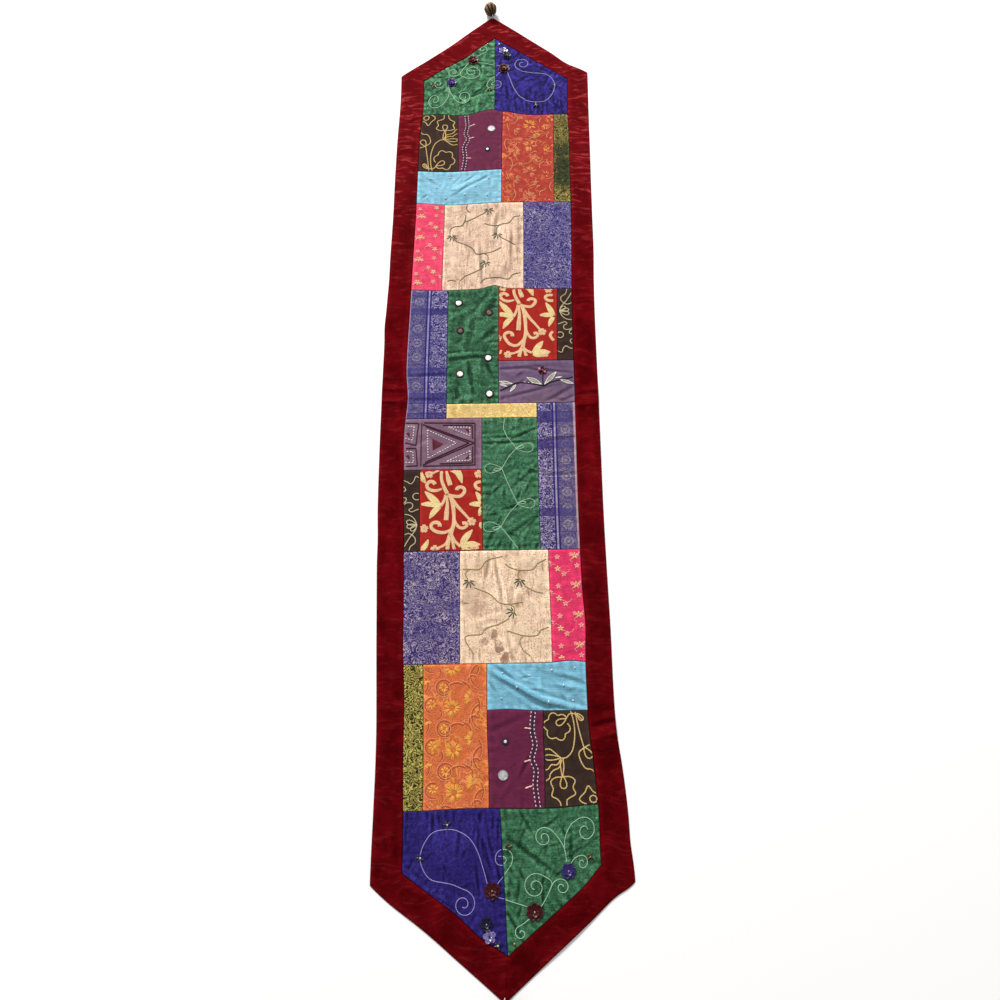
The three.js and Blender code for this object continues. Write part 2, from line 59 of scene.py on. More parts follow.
# Relief of a cloth's face, in millimetres: the least thickness left in a fold, how far a pucker at a
# seam runs inward before it changes, how far in from the edge the gathers, the crush and the creases
# come to full height, and the pitch at which the crush wanders.
THINNEST = 0.35
PUCKER_LENGTH = 60.0
GATHER_MARGIN, CRUSH_MARGIN, CREASE_MARGIN = 1.2, 8.0, 3.0
BEND_PITCH = 31.0

# Spacing of the sheets' points, in millimetres, and how the seeds of their relief are numbered.
VELVET_STEP, CREASED_STEP, PATCH_STEP = 4.0, 2.2, 3.0
SEEDS_APART, FIRST_SEED = 20, 5

LIE_COLUMNS = ("along", "shift", "half", "arch", "skew")
LIE = np.array([
    (-914, 9.0, 189.5, 0, 0),
    (-757, 6.0, 190.0, 0, 0),
    (-650, 3.6, 186.6, 0, 2),
    (-600, 1.9, 184.4, 0, 1),
    (-550, -1.0, 182.0, 0, 0),
    (-500, -2.5, 182.2, 0, 0),
    (-400, -4.2, 184.3, 0, 0),
    (-200, -7.6, 187.0, 0, 0),
    (0, -7.2, 188.6, 0, -1),
    (200, -5.2, 188.5, 0, -2),
    (400, 0.0, 188.4, 0, -4),
    (515, 1.6, 188.9, 2, -5),
    (660, 4.4, 188.8, 11, -4),
    (757, 6.2, 189.4, 0, 0),
    (914, 7.0, 189.4, 0, 0),
])

# Columns: across, along, turn, long, wide, high.
SWELLS = (
    (70, -488, -32, 62, 22, 5.0),
    (168, -548, 12, 34, 26, 3.4),
    (-168, -300, 90, 90, 24, 2.6),
    (170, -90, 90, 110, 24, 2.6),
    (170, 22, 8, 36, 24, 2.8),
    (-172, 30, -6, 36, 24, 2.8),
    (-30, 140, 70, 56, 24, 3.6),
    (-38, 50, 96, 40, 24, 3.0),
    (92, 44, 14, 60, 24, 3.2),
    (36, -150, 60, 70, 26, 2.8),
    (-172, 470, 90, 80, 24, 2.6),
    (172, 560, 90, 80, 24, 2.4),
    (-70, 476, 12, 70, 26, 3.2),
    (20, 340, 80, 70, 26, 2.6),
    (-84, -715, -52, 60, 26, 3.4),
    (76, -720, 48, 60, 26, 3.0),
    (60, 728, -46, 60, 26, 3.0),
    (96, -846, 40, 60, 24, 2.4),
)

# Small pulls of the cloth in its own plane, each strongest at one place: how wide and long it
# reaches, and how far it draws the cloth east and ahead.
# Columns: across, along, wide, long, east, ahead.
TUGS = (
    (0, 650, 400, 58, 0, -15.5),
    (0, 655, 34, 60, 0, 10),
    (76, 655, 40, 60, 0, -4.5),
    (-90, 514, 90, 50, 0, -8.5),
    (-80, 437, 60, 40, 0, -6),
    (-90, 243, 60, 40, 0, -3.5),
    (6, 243, 16, 30, 0, 7),
    (130, 243, 50, 40, 0, -1.6),
    (-140, 705, 22, 80, 7.2, 0),
    (-190, 700, 30, 60, 1.6, 0),
    (-147, 500, 30, 120, 1.4, 0),
    (-85, 815, 50, 60, 0, -4.5),
    (-58, 812, 20, 18, 0, -3),
    (146, 790, 34, 30, 0, -7.5),
    (100, 830, 50, 60, 0, -3),
    (150, 690, 24, 80, -3, 0),
    (-170, -775, 60, 50, 0, -6),
    (-34, -828, 30, 26, -1.5, -4),
    (146, -735, 22, 45, -3.5, 4.5),
    (190, -708, 20, 24, -1.6, 0),
    (190, -770, 20, 20, 0, -5),
    (-40, -661, 60, 30, 0, 2.5),
    (140, -661, 36, 30, 0, 4),
    (15, -518, 40, 30, 0, 3),
    (122, -445, 22, 26, 0, 3),
    (149, -385, 26, 40, 2.5, 0),
    (-146, 22, 24, 30, 3, 0),
    (-146, -62, 24, 40, -3, 0),
    (-190, 262, 24, 36, 1, 0),
    (-190, -235, 24, 30, 1, 0),
    (-190, 165, 24, 26, -1.5, 0),
    (190, 330, 24, 50, 1, 0),
    (-62, 655, 36, 50, 0, -5.8),
    (14, 655, 13, 50, 0, -3.2),
    (-147, 90, 24, 80, -2.2, 0),
    (-147, -150, 24, 40, -2.2, 0),
    (-147, -415, 24, 60, -1.8, 0),
    (-147, -590, 24, 70, -2.6, 0),
)

CROSS = {
    "farEnd": 660, "farTurquoise": 516, "farPink": 437, "farMirrors": 243, "twigTop": 92,
    "stripTop": 8, "stripFoot": -20, "chartFoot": -116, "nearCream": -260,
    "nearOrange": -445, "nearPlum": -518.5, "nearEnd": -660.5,
}

UPRIGHT = {
    "westEdge": ((-144.2, -INNER_SHOULDER), (-147.8, INNER_SHOULDER)),
    "eastEdge": ((146.5, -INNER_SHOULDER), (151, INNER_SHOULDER)),
    "farMiddle": ((2, 660), (2, INNER_POINT)),
    "farBrownPlum": ((-67, 516), (-71, 660)),
    "farPlumOrange": ((17, 437), (18, 660)),
    "farOrangeOlive": ((118.6, 437), (120, 660)),
    "farPinkCream": ((-90, 243), (-92, 437)),
    "farCreamLavender": ((61, 243), (59, 437)),
    "farStripeMirrors": ((-75.7, -20), (-77.5, 243)),
    "farMirrorsCrewel": ((15.3, 8), (15.3, 243)),
    "farCrewelSquiggle": ((120, 92), (122.5, 243)),
    "nearVineStripe": ((82.7, -260), (81.8, 8)),
    "nearCrewelVine": ((-13.6, -260), (-13.6, -20)),
    "nearSquiggleCrewel": ((-119, -260), (-119, -116)),
    "nearLavenderCream": ((-55, -445), (-52, -260)),
    "nearCreamPink": ((94.3, -445), (95, -260)),
    "nearOliveOrange": ((-116, -660.5), (-114.3, -445)),
    "nearOrangePlum": ((-16.5, -660.5), (-11.5, -445)),
    "nearPlumBrown": ((67, -660.5), (76.5, -518.5)),
    "nearMiddle": ((5, -INNER_POINT), (-0.3, -660.5)),
}

# node: (cloth, west seam, east seam, near seam, far seam)
PATCHES = {
    "far_brown_flowers": ("brown_cloth", "westEdge", "farBrownPlum", "farTurquoise", "farEnd"),
    "far_plum": ("plum_silk", "farBrownPlum", "farPlumOrange", "farTurquoise", "farEnd"),
    "far_turquoise": ("turquoise_silk", "westEdge", "farPlumOrange", "farPink", "farTurquoise"),
    "far_orange": ("orange_brocade", "farPlumOrange", "farOrangeOlive", "farPink", "farEnd"),
    "far_olive": ("olive_brocade", "farOrangeOlive", "eastEdge", "farPink", "farEnd"),
    "far_pink": ("pink_silk", "westEdge", "farPinkCream", "farMirrors", "farPink"),
    "far_cream": ("cream_silk", "farPinkCream", "farCreamLavender", "farMirrors", "farPink"),
    "far_lavender": ("lavender_brocade", "farCreamLavender", "eastEdge", "farMirrors", "farPink"),
    "far_stripe": ("stripe_brocade", "westEdge", "farStripeMirrors", "stripFoot", "farMirrors"),
    "far_green_mirrors": ("green_silk", "farStripeMirrors", "farMirrorsCrewel", "stripTop", "farMirrors"),
    "far_crewel": ("red_crewel", "farMirrorsCrewel", "farCrewelSquiggle", "twigTop", "farMirrors"),
    "far_squiggle": ("brown_cloth", "farCrewelSquiggle", "eastEdge", "twigTop", "farMirrors"),
    "mauve_twig": ("mauve_cloth", "farMirrorsCrewel", "eastEdge", "stripTop", "twigTop"),
    "yellow_strip": ("yellow_brocade", "farStripeMirrors", "nearVineStripe", "stripFoot", "stripTop"),
    "mauve_triangles": ("mauve_cloth", "westEdge", "nearCrewelVine", "chartFoot", "stripFoot"),
    "near_squiggle": ("brown_cloth", "westEdge", "nearSquiggleCrewel", "nearCream", "chartFoot"),
    "near_crewel": ("red_crewel", "nearSquiggleCrewel", "nearCrewelVine", "nearCream", "chartFoot"),
    "near_green_vine": ("green_silk", "nearCrewelVine", "nearVineStripe", "nearCream", "stripFoot"),
    "near_stripe": ("stripe_brocade", "nearVineStripe", "eastEdge", "nearCream", "stripTop"),
    "near_lavender": ("lavender_brocade", "westEdge", "nearLavenderCream", "nearOrange", "nearCream"),
    "near_cream": ("cream_silk", "nearLavenderCream", "nearCreamPink", "nearOrange", "nearCream"),
    "near_pink": ("pink_silk", "nearCreamPink", "eastEdge", "nearOrange", "nearCream"),
    "near_olive": ("olive_brocade", "westEdge", "nearOliveOrange", "nearEnd", "nearOrange"),
    "near_orange": ("orange_brocade", "nearOliveOrange", "nearOrangePlum", "nearEnd", "nearOrange"),
    "near_turquoise": ("turquoise_silk", "nearOrangePlum", "eastEdge", "nearPlum", "nearOrange"),
    "near_plum": ("plum_silk", "nearOrangePlum", "nearPlumBrown", "nearEnd", "nearPlum"),
    "near_brown_flowers": ("brown_cloth", "nearPlumBrown", "eastEdge", "nearEnd", "nearPlum"),
}


def seam_at(seam, along):
    """The place of an upright seam at a distance along."""
    (u0, v0), (u1, v1) = UPRIGHT[seam]
    return (u0 + (u1 - u0) * (along - v0) / (v1 - v0), along)


def inner_corner(side, end):
    return seam_at(side, end * INNER_SHOULDER)


def outer_corner(side, end):
    return (side * HALF_WIDTH, end * OUTER_SHOULDER)


def cut_pieces():
    """Every cloth piece: node, cloth and its four corners, anticlockwise from above."""
    pieces = []
    for node, (cloth, west, east, near, far) in PATCHES.items():
        corners = (seam_at(west, CROSS[near]), seam_at(east, CROSS[near]),
                   seam_at(east, CROSS[far]), seam_at(west, CROSS[far]))
        pieces.append((node, cloth, corners))
    far_seam, far_tip = UPRIGHT["farMiddle"]
    near_tip, near_seam = UPRIGHT["nearMiddle"]
    west, east = "westEdge", "eastEdge"
    pieces += [
        ("far_green_point", "green_silk",
         (seam_at(west, CROSS["farEnd"]), far_seam, far_tip, inner_corner(west, 1))),
        ("far_violet_point", "violet_silk",
         (far_seam, seam_at(east, CROSS["farEnd"]), inner_corner(east, 1), far_tip)),
        ("near_violet_point", "violet_silk",
         (inner_corner(west, -1), near_tip, near_seam, seam_at(west, CROSS["nearEnd"]))),
        ("near_green_point", "green_silk",
         (near_tip, inner_corner(east, -1), seam_at(east, CROSS["nearEnd"]), near_seam)),
        ("border_west", "velvet",
         (outer_corner(-1, -1), inner_corner(west, -1), inner_corner(west, 1), outer_corner(-1, 1))),
        ("border_east", "velvet",
         (inner_corner(east, -1), outer_corner(1, -1), outer_corner(1, 1), inner_corner(east, 1))),
        ("border_far_west", "velvet",
         (outer_corner(-1, 1), inner_corner(west, 1), far_tip, FAR_POINT)),
        ("border_far_east", "velvet",
         (inner_corner(east, 1), outer_corner(1, 1), FAR_POINT, far_tip)),
        ("border_near_west", "velvet",
         (outer_corner(-1, -1), NEAR_POINT, near_tip, inner_corner(west, -1))),
        ("border_near_east", "velvet",
         (NEAR_POINT, outer_corner(1, -1), inner_corner(east, -1), near_tip)),
    ]
    return pieces


def lie_column(column, along):
    """One column of LIE at distances along, as a smooth curve through the rows."""
    rows, values = LIE[:, 0], LIE[:, LIE_COLUMNS.index(column)]
    slopes = np.empty(len(rows))
    slopes[1:-1] = (values[2:] - values[:-2]) / (rows[2:] - rows[:-2])
    slopes[0] = (values[1] - values[0]) / (rows[1] - rows[0])
    slopes[-1] = (values[-1] - values[-2]) / (rows[-1] - rows[-2])
    place = np.clip(along, rows[0], rows[-1])
    i = np.clip(np.searchsorted(rows, place, side="right") - 1, 0, len(rows) - 2)
    span = rows[i + 1] - rows[i]
    t = (place - rows[i]) / span
    return ((2 * t**3 - 3 * t**2 + 1) * values[i] + (t**3 - 2 * t**2 + t) * span * slopes[i]
            + (3 * t**2 - 2 * t**3) * values[i + 1] + (t**3 - t**2) * span * slopes[i + 1])


def ridges(across, along, rows):
    """The summed height of soft ridges (troughs where high is negative) given as SWELLS is."""
    height = np.zeros(np.shape(across))
    for u, v, turn, long, wide, high in rows:
        cos, sin = math.cos(math.radians(turn)), math.sin(math.radians(turn))
        s = ((across - u) * cos + (along - v) * sin) / long
        t = ((along - v) * cos - (across - u) * sin) / wide
        height += high * np.exp(-s * s - t * t)
    return height


def lay(across, along):
    """Where a place of the cutting layout lies, with the height of the cloth's underside."""
    side = across / HALF_WIDTH
    x = lie_column("shift", along) + side * lie_column("half", along)
    y = along + lie_column("arch", along) * (1 - side * side) + lie_column("skew", along) * side
    for u, v, wide, long, east, ahead in TUGS:
        pull = np.exp(-((across - u) / wide) ** 2 - ((along - v) / long) ** 2)
        x, y = x + east * pull, y + ahead * pull
    return x, y, np.maximum(ridges(across, along, SWELLS) - RESTING, 0)


def lattice_noise(x, y, seed):
    """Smooth noise from about -1 to 1, with one hill or hollow to a unit."""
    xi, yi = np.floor(x).astype(np.int64), np.floor(y).astype(np.int64)
    xf, yf = x - xi, y - yi

    def corner(i, j):
        mixed = ((xi + i) * 374761393 + (yi + j) * 668265263 + seed * 982451653) & 0xFFFFFFFF
        mixed = ((mixed ^ (mixed >> 13)) * 1274126177) & 0xFFFFFFFF
        angle = ((mixed ^ (mixed >> 16)) & 0xFFFF) * (2 * math.pi / 65536)
        return np.cos(angle) * (xf - i) + np.sin(angle) * (yf - j)

    u, v = xf * xf * (3 - 2 * xf), yf * yf * (3 - 2 * yf)
    low = corner(0, 0) * (1 - u) + corner(1, 0) * u
    high = corner(0, 1) * (1 - u) + corner(1, 1) * u
    return 1.5 * (low * (1 - v) + high * v)


# ---------------------------------------------------------------- making meshes

def mesh_piece(name, vertices, faces, material, attributes=None, smooth=True):
    """A finished piece from vertices in metres, riding on the runner."""
    mesh = bpy.data.meshes.new(name)
    mesh.from_pydata(vertices.tolist(), [], faces if isinstance(faces, list) else faces.tolist())
    for key, values in (attributes or {}).items():
        layer = mesh.attributes.new(key, "FLOAT_VECTOR", "POINT")
        layer.data.foreach_set("vector", np.ascontiguousarray(values, dtype=np.float32).ravel())
    mesh.polygons.foreach_set("use_smooth", [smooth] * len(mesh.polygons))
    mesh.materials.append(material)
    mesh.update()
    piece = bpy.data.objects.new(name, mesh)
    bpy.context.scene.collection.objects.link(piece)
    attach(piece, "root")
    return piece


def grid_steps(length, step, edge_steps):
    """Shares from 0 to 1 along a side, close together at both ends where the cloth turns down."""
    ends = [e for e in edge_steps if e < 0.4 * length]
    inner = np.linspace(ends[-1], length - ends[-1], max(2, int(round((length - 2 * ends[-1]) / step)) + 1))
    places = np.concatenate([[0.0], ends[:-1], inner, [length - e for e in reversed(ends[:-1])], [length]])
    return places / length


def hollows(height):
    """How far each place of a grid of heights lies in a hollow, to 1, or on a ridge, to -1."""
    padded = np.pad(height, 2, mode="edge")
    rows, columns = height.shape
    mean = sum(padded[i:i + rows, j:j + columns] for i in range(5) for j in range(5)) / 25
    return np.clip((mean - height) / 0.4, -1, 1)


class Cloth:
    """A four-cornered piece of cloth: where it lies and how high its face is."""

    def __init__(self, node, cloth, corners, thick, relief):
        self.node, self.cloth, self.thick, self.relief = node, cloth, thick, relief
        self.corners = np.array(corners, dtype=float)
        self.centre = self.corners.mean(axis=0)
        following = np.roll(self.corners, -1, axis=0)
        run = following - self.corners
        self.edge_lengths = np.linalg.norm(run, axis=1)
        self.edge_runs = run / self.edge_lengths[:, None]
        self.edge_normals = np.stack([-self.edge_runs[:, 1], self.edge_runs[:, 0]], axis=1)

    def from_edges(self, u, v):
        """Distance in from each of the four edges, and the place along each."""
        inward, beside = [], []
        for corner, run, normal in zip(self.corners, self.edge_runs, self.edge_normals):
            inward.append((u - corner[0]) * normal[0] + (v - corner[1]) * normal[1])
            beside.append((u - corner[0]) * run[0] + (v - corner[1]) * run[1])
        return inward, beside

    def face_height(self, u, v):
        """Height of the face over the underside's swell."""
        r = self.relief
        inward, beside = self.from_edges(u, v)
        height = np.full(np.shape(u), self.thick)
        for k in range(4):
            depth = np.clip(1 - inward[k] / r["round"], 0, 1)
            height -= r["drop"][k] * (1 - np.sqrt(np.clip(1 - depth**2, 0, 1)))
            gather = np.exp(-np.clip(inward[k], 0, None) / r["gather_reach"])
            waves = lattice_noise(beside[k] / r["gather_pitch"], inward[k] / PUCKER_LENGTH, r["seed"] + k)
            height += r["gather"] * waves * gather * np.clip(inward[k] / GATHER_MARGIN, 0, 1)
        inside = np.clip(np.minimum.reduce(inward) / CRUSH_MARGIN, 0, 1)
        bend = lattice_noise(u / BEND_PITCH, v / BEND_PITCH, r["seed"] + 11)
        grain = v / r["crush_pitch"] * r["crush_grain"]
        crush = lattice_noise(u / r["crush_pitch"] + bend, grain - bend, r["seed"] + 7)
        height += inside * r["crush"] * (0.55 * np.abs(crush) + 0.75 * crush - 0.3)
        if r["creases"]:
            height += np.clip(np.minimum.reduce(inward) / CREASE_MARGIN, 0, 1) * ridges(u, v, r["creases"])
        return np.maximum(height, THINNEST)

    def place(self, u, v, lift=0.0):
        """World place, in metres, of points on the face, raised by lift millimetres."""
        u, v = np.asarray(u, dtype=float), np.asarray(v, dtype=float)
        x, y, under = lay(u, v)
        return np.stack([x, y, under + self.face_height(u, v) + lift], axis=-1) * MM

    def sheet(self, material, step):
        """The cloth itself: a closed thin sheet with its seams rolled down."""
        a, b, c, d = self.corners
        s = grid_steps(max(self.edge_lengths[0], self.edge_lengths[2]), step, self.relief["edge_steps"])
        t = grid_steps(max(self.edge_lengths[1], self.edge_lengths[3]), step, self.relief["edge_steps"])
        columns, rows = len(s), len(t)
        s, t = np.meshgrid(s, t)
        s, t = s.ravel()[:, None], t.ravel()[:, None]
        cut = (a * (1 - s) + b * s) * (1 - t) + (d * (1 - s) + c * s) * t
        u, v = cut[:, 0], cut[:, 1]
        x, y, under = lay(u, v)
        top = np.stack([x, y, under + self.face_height(u, v)], axis=1)
        bottom = np.stack([x, y, under], axis=1)
        index = np.arange(columns * rows).reshape(rows, columns)
        layer = columns * rows
        quads = np.stack([index[:-1, :-1], index[:-1, 1:], index[1:, 1:], index[1:, :-1]],
                         axis=-1).reshape(-1, 4)
        rim = np.concatenate([index[0, :], index[1:, -1], index[-1, -2::-1], index[-2:0:-1, 0]])
        after = np.roll(rim, -1)
        walls = np.stack([rim, after, after + layer, rim + layer], axis=1)
        faces = np.concatenate([quads[:, ::-1], quads + layer, walls])
        cutting = np.stack([np.concatenate([u, u]), np.concatenate([v, v]), np.repeat([0.0, 1.0], layer)],
                           axis=1)
        seams = [inward for inward, kind in zip(self.from_edges(u, v)[0],
                                                self.relief["kinds"]) if kind == "seam"]
        mitres = [3 + inward for inward, kind in zip(self.from_edges(u, v)[0], self.relief["kinds"])
                  if kind == "mitre"]
        # How far each point lies in a hollow or on a ridge, and how near it is to a seam: finish_cloth
        # paints shade in the hollows and seams and a highlight on the ridges from these.
        folds = np.stack([hollows(top[:, 2].reshape(rows, columns)).ravel(),
                          np.minimum.reduce(seams + mitres), np.zeros(layer)], axis=1)
        return mesh_piece(self.node + "_cloth", np.concatenate([bottom, top]) * MM, faces, material,
                          {"cutting": cutting * (0.1, 0.1, 1.0), "folds": np.concatenate([folds, folds])})


# ---------------------------------------------------------------- how each cloth lies

# Millimetres: how wide the seam's turn is and how far it drops; the gathers beside the seams, with
# their reach and pitch; the crushing of the silk, with its pitch and how much longer one way.
RELIEF_COLUMNS = ("round", "drop", "gather", "gather_reach", "gather_pitch",
                  "crush", "crush_pitch", "crush_grain")
RELIEF = {
    "green_silk": (3.2, 1.25, 0.95, 12.0, 8.0, 0.55, 24.0, 1.4),
    "violet_silk": (3.2, 1.25, 0.9, 13.0, 7.0, 0.4, 26.0, 0.8),
    "plum_silk": (3.0, 1.2, 0.4, 9.0, 9.0, 0.28, 26.0, 1.0),
    "turquoise_silk": (3.0, 1.2, 0.5, 10.0, 9.0, 0.4, 26.0, 1.2),
    "pink_silk": (3.0, 1.2, 0.35, 8.0, 10.0, 0.3, 24.0, 1.0),
    "cream_silk": (3.0, 1.2, 0.4, 10.0, 10.0, 0.3, 28.0, 0.6),
    "orange_brocade": (3.0, 1.2, 0.3, 8.0, 10.0, 0.25, 30.0, 1.0),
    "olive_brocade": (3.0, 1.2, 0.3, 8.0, 10.0, 0.25, 24.0, 1.0),
    "lavender_brocade": (3.0, 1.2, 0.3, 9.0, 11.0, 0.25, 32.0, 1.0),
    "stripe_brocade": (3.0, 1.2, 0.35, 10.0, 11.0, 0.3, 34.0, 1.6),
    "yellow_brocade": (2.6, 1.1, 0.3, 6.0, 10.0, 0.2, 24.0, 1.0),
    "brown_cloth": (3.0, 1.2, 0.35, 8.0, 10.0, 0.3, 24.0, 1.0),
    "red_crewel": (3.0, 1.2, 0.3, 8.0, 11.0, 0.3, 30.0, 1.0),
    "mauve_cloth": (3.0, 1.2, 0.35, 8.0, 10.0, 0.35, 26.0, 1.2),
    "velvet": (4.2, 1.7, 0.3, 8.0, 16.0, 0.3, 40.0, 1.6),
}

# Folds pressed into single patches, in the columns of SWELLS.
CREASES = {
    "far_turquoise": ((-52, 476, 34, 30, 3.2, -0.75), (-56, 484, 34, 28, 4.0, 0.5),
                      (-16, 498, 30, 14, 4.0, -0.5), (-118, 492, -34, 14, 4.0, -0.5)),
    "near_turquoise": ((34, -478, -31, 46, 5.5, 1.9), (42, -489, -31, 50, 4.5, -1.7),
                       (70, -506, -24, 30, 5.0, -1.2),
                       (20, -462, -40, 22, 3.2, -0.9), (98, -505, -14, 30, 5.0, 2.4),
                       (94, -512, -10, 30, 3.0, -1.3),
                       (122, -470, -14, 26, 3.4, -0.9), (118, -480, -10, 26, 4.0, 0.8)),
    "far_green_mirrors": ((-35, 152, 80, 34, 6.5, -1.9), (-13, 208, 52, 30, 5.5, 1.5),
                          (-3, 198, 55, 26, 6.0, -1.5), (-7, 145, 44, 28, 6.5, -1.5),
                          (-43, 106, 4, 36, 4.0, 1.3), (-44, 98, 6, 36, 4.5, -1.1),
                          (-35, 64, 99, 32, 5.5, -1.8), (-3, 78, 118, 16, 4.5, -1.1),
                          (-58, 30, 100, 20, 5.0, -1.1), (-58, 190, 30, 26, 6.0, 1.1)),
    "near_green_vine": ((36, -66, 2, 40, 3.0, -1.1), (54, -52, 26, 36, 3.4, -1.0),
                        (62, -128, 40, 40, 4.0, -0.9), (30, -188, 20, 50, 4.2, -0.9),
                        (60, -212, 34, 40, 4.0, -0.8), (4, -228, 64, 34, 4.0, -0.9)),
    "mauve_twig": ((46, 78, 4, 44, 3.4, -1.1), (104, 72, -6, 36, 3.4, -0.9),
                   (60, 28, 14, 50, 3.6, -1.0), (122, 26, 30, 26, 4.0, -1.0)),
    "near_plum": ((40, -600, 58, 14, 3.0, -0.9), (10, -540, 20, 40, 5.0, -0.5)),
    "near_violet_point": ((-110, -770, -30, 44, 3.4, -1.3), (-24, -716, 108, 30, 3.6, -1.2),
                          (-62, -700, 84, 22, 3.4, -0.9), (-128, -742, -42, 22, 3.4, -1.2),
                          (-100, -680, 96, 16, 3.2, -1.0), (-18, -760, 100, 34, 3.6, -0.9)),
    "near_green_point": ((44, -724, -36, 44, 4.2, -1.3), (30, -700, 66, 18, 3.4, -0.9),
                         (118, -716, 24, 34, 3.4, -1.2), (22, -770, 80, 22, 3.6, -0.9),
                         (122, -768, 38, 34, 3.4, -1.2), (86, -800, 40, 26, 3.6, -0.9)),
    "far_green_point": ((-123, 706, 34, 24, 3.6, -4.1), (-22, 718, 42, 28, 5.0, -3.2),
                        (-30, 772, 84, 20, 4.0, -2.0), (-104, 742, 28, 16, 4.0, -2.4),
                        (-60, 690, 20, 26, 4.0, 2.0)),
    "far_violet_point": ((96, 772, -34, 40, 3.4, -1.1), (26, 712, 96, 22, 3.6, -1.3),
                         (60, 744, 40, 20, 4.0, -1.1),
                         (66, 690, 88, 20, 3.4, -0.9), (120, 700, 100, 24, 3.4, -1.1),
                         (110, 738, 60, 18, 4.0, 1.0)),
    "near_cream": ((8, -296, 96, 24, 2.4, -0.7), (-8, -292, 78, 16, 2.4, -0.7),
                   (14, -330, 94, 20, 2.4, -0.4), (26, -420, 100, 26, 3.0, -0.4)),
    "far_cream": ((-20, 300, 94, 40, 3.6, -0.8), (6, 380, 86, 34, 3.6, -0.7),
                  (36, 340, 92, 34, 3.6, -0.7)),
    "near_stripe": ((118, -60, 4, 40, 3.2, -0.7), (120, -126, 2, 36, 3.0, -0.6)),
    "far_stripe": ((-112, 66, 2, 40, 3.2, -0.7), (-114, 18, -2, 36, 3.0, -0.6)),
    "border_east": ((170, -552, 14, 26, 5.0, 1.2), (172, -536, 12, 24, 4.0, -0.9),
                    (172, 8, 6, 26, 4.5, 1.0), (172, 26, 6, 26, 4.0, -0.8)),
    "border_west": ((-170, 18, -4, 26, 4.5, 1.0), (-170, 34, -4, 26, 4.0, -0.8)),
}


# Short creases scattered over silk: how many, where they lie from the middle of the patch (west,
# east, near and far limits), their turn and its spread in degrees, and half length, width, depth.
# Columns: count, west, east, near, far, turn, spread, long, wide, high.
SCATTERS = {
    "near_violet_point": ((16, -86, 84, 34, 64, 92, 12, 9, 2.2, -0.9),
                          (9, 30, 74, -30, 40, 98, 10, 12, 2.4, -1.0),
                          (10, -80, 20, -50, 30, 70, 50, 8, 2.2, -0.5)),
    "near_green_point": ((12, -60, 80, -20, 60, 60, 60, 12, 3.0, -0.8),
                         (8, -70, 0, -90, -10, 100, 30, 12, 2.6, -0.8),
                         (8, 20, 80, 0, 60, 40, 40, 10, 2.6, 0.7)),
    "far_violet_point": ((20, -84, 86, -72, -40, 92, 12, 9, 2.6, -1.3),
                         (26, -80, 80, -60, 70, 60, 70, 10, 3.4, -1.0),
                         (14, -80, 80, -60, 70, 60, 70, 10, 3.4, 0.8)),
    "far_green_point": ((16, -80, 70, -60, 60, 40, 50, 11, 3.2, -1.2),
                        (12, -80, 70, -60, 70, 50, 50, 12, 3.6, 0.9)),
    "far_green_mirrors": ((8, -44, 44, -110, 110, 60, 60, 12, 5.0, -0.8),
                          (8, -44, 44, -110, 110, 20, 50, 12, 4.5, 0.8)),
    "near_green_vine": ((14, -46, 46, -116, 116, 30, 60, 13, 2.8, -0.8),
                        (9, -46, 46, -116, 116, 20, 50, 13, 2.8, 0.7)),
    "near_turquoise": ((7, -76, 76, -30, 30, -20, 40, 10, 2.6, -0.5),),
    "far_turquoise": ((6, -76, 76, -30, 30, 30, 30, 12, 2.6, -0.5),),
    "mauve_twig": ((8, -60, 60, -36, 36, 10, 30, 12, 2.6, -0.7),),
}


def scattered(node, centre, seed):
    """The rows of SCATTERS for one piece made into single creases, in the columns of SWELLS."""
    random = np.random.default_rng(seed)
    rows = []
    for count, west, east, near, far, turn, spread, long, wide, high in SCATTERS.get(node, ()):
        for _ in range(count):
            rows.append((centre[0] + random.uniform(west, east), centre[1] + random.uniform(near, far),
                         turn + random.uniform(-spread, spread), long * random.uniform(0.6, 1.5), wide,
                         high * random.uniform(0.6, 1.2)))
    return tuple(rows)


MITRE_LONGEST = 70.0


def edge_kinds(corners):
    """What each edge of a velvet strip is: a mitre, the hem that hangs free, or a seam."""
    free = [abs(u) == HALF_WIDTH or (u, v) in (FAR_POINT, NEAR_POINT) for u, v in corners]
    kinds = []
    for k, (u, v) in enumerate(corners):
        after = (k + 1) % 4
        length = math.dist((u, v), corners[after])
        kinds.append("mitre" if length < MITRE_LONGEST else "hem" if free[k] and free[after] else "seam")
    return kinds


def relief(node, cloth, corners, seed):
    """The lie of one piece: its cloth's row, its edges, its own creases and its own seed."""
    row = dict(zip(RELIEF_COLUMNS, RELIEF[cloth]))
    turn = row["round"]
    row["kinds"] = edge_kinds(corners) if cloth == "velvet" else ["seam"] * 4
    row["drop"] = [row["drop"] * (0.3 if kind == "mitre" else 1.0) for kind in row["kinds"]]
    row["creases"] = CREASES.get(node, ()) + scattered(node, np.mean(corners, axis=0), seed)
    row["seed"] = seed
    row["edge_steps"] = [0.1 * turn, 0.3 * turn, 0.6 * turn, turn]
    return row


# ---------------------------------------------------------------- wiring shader nodes

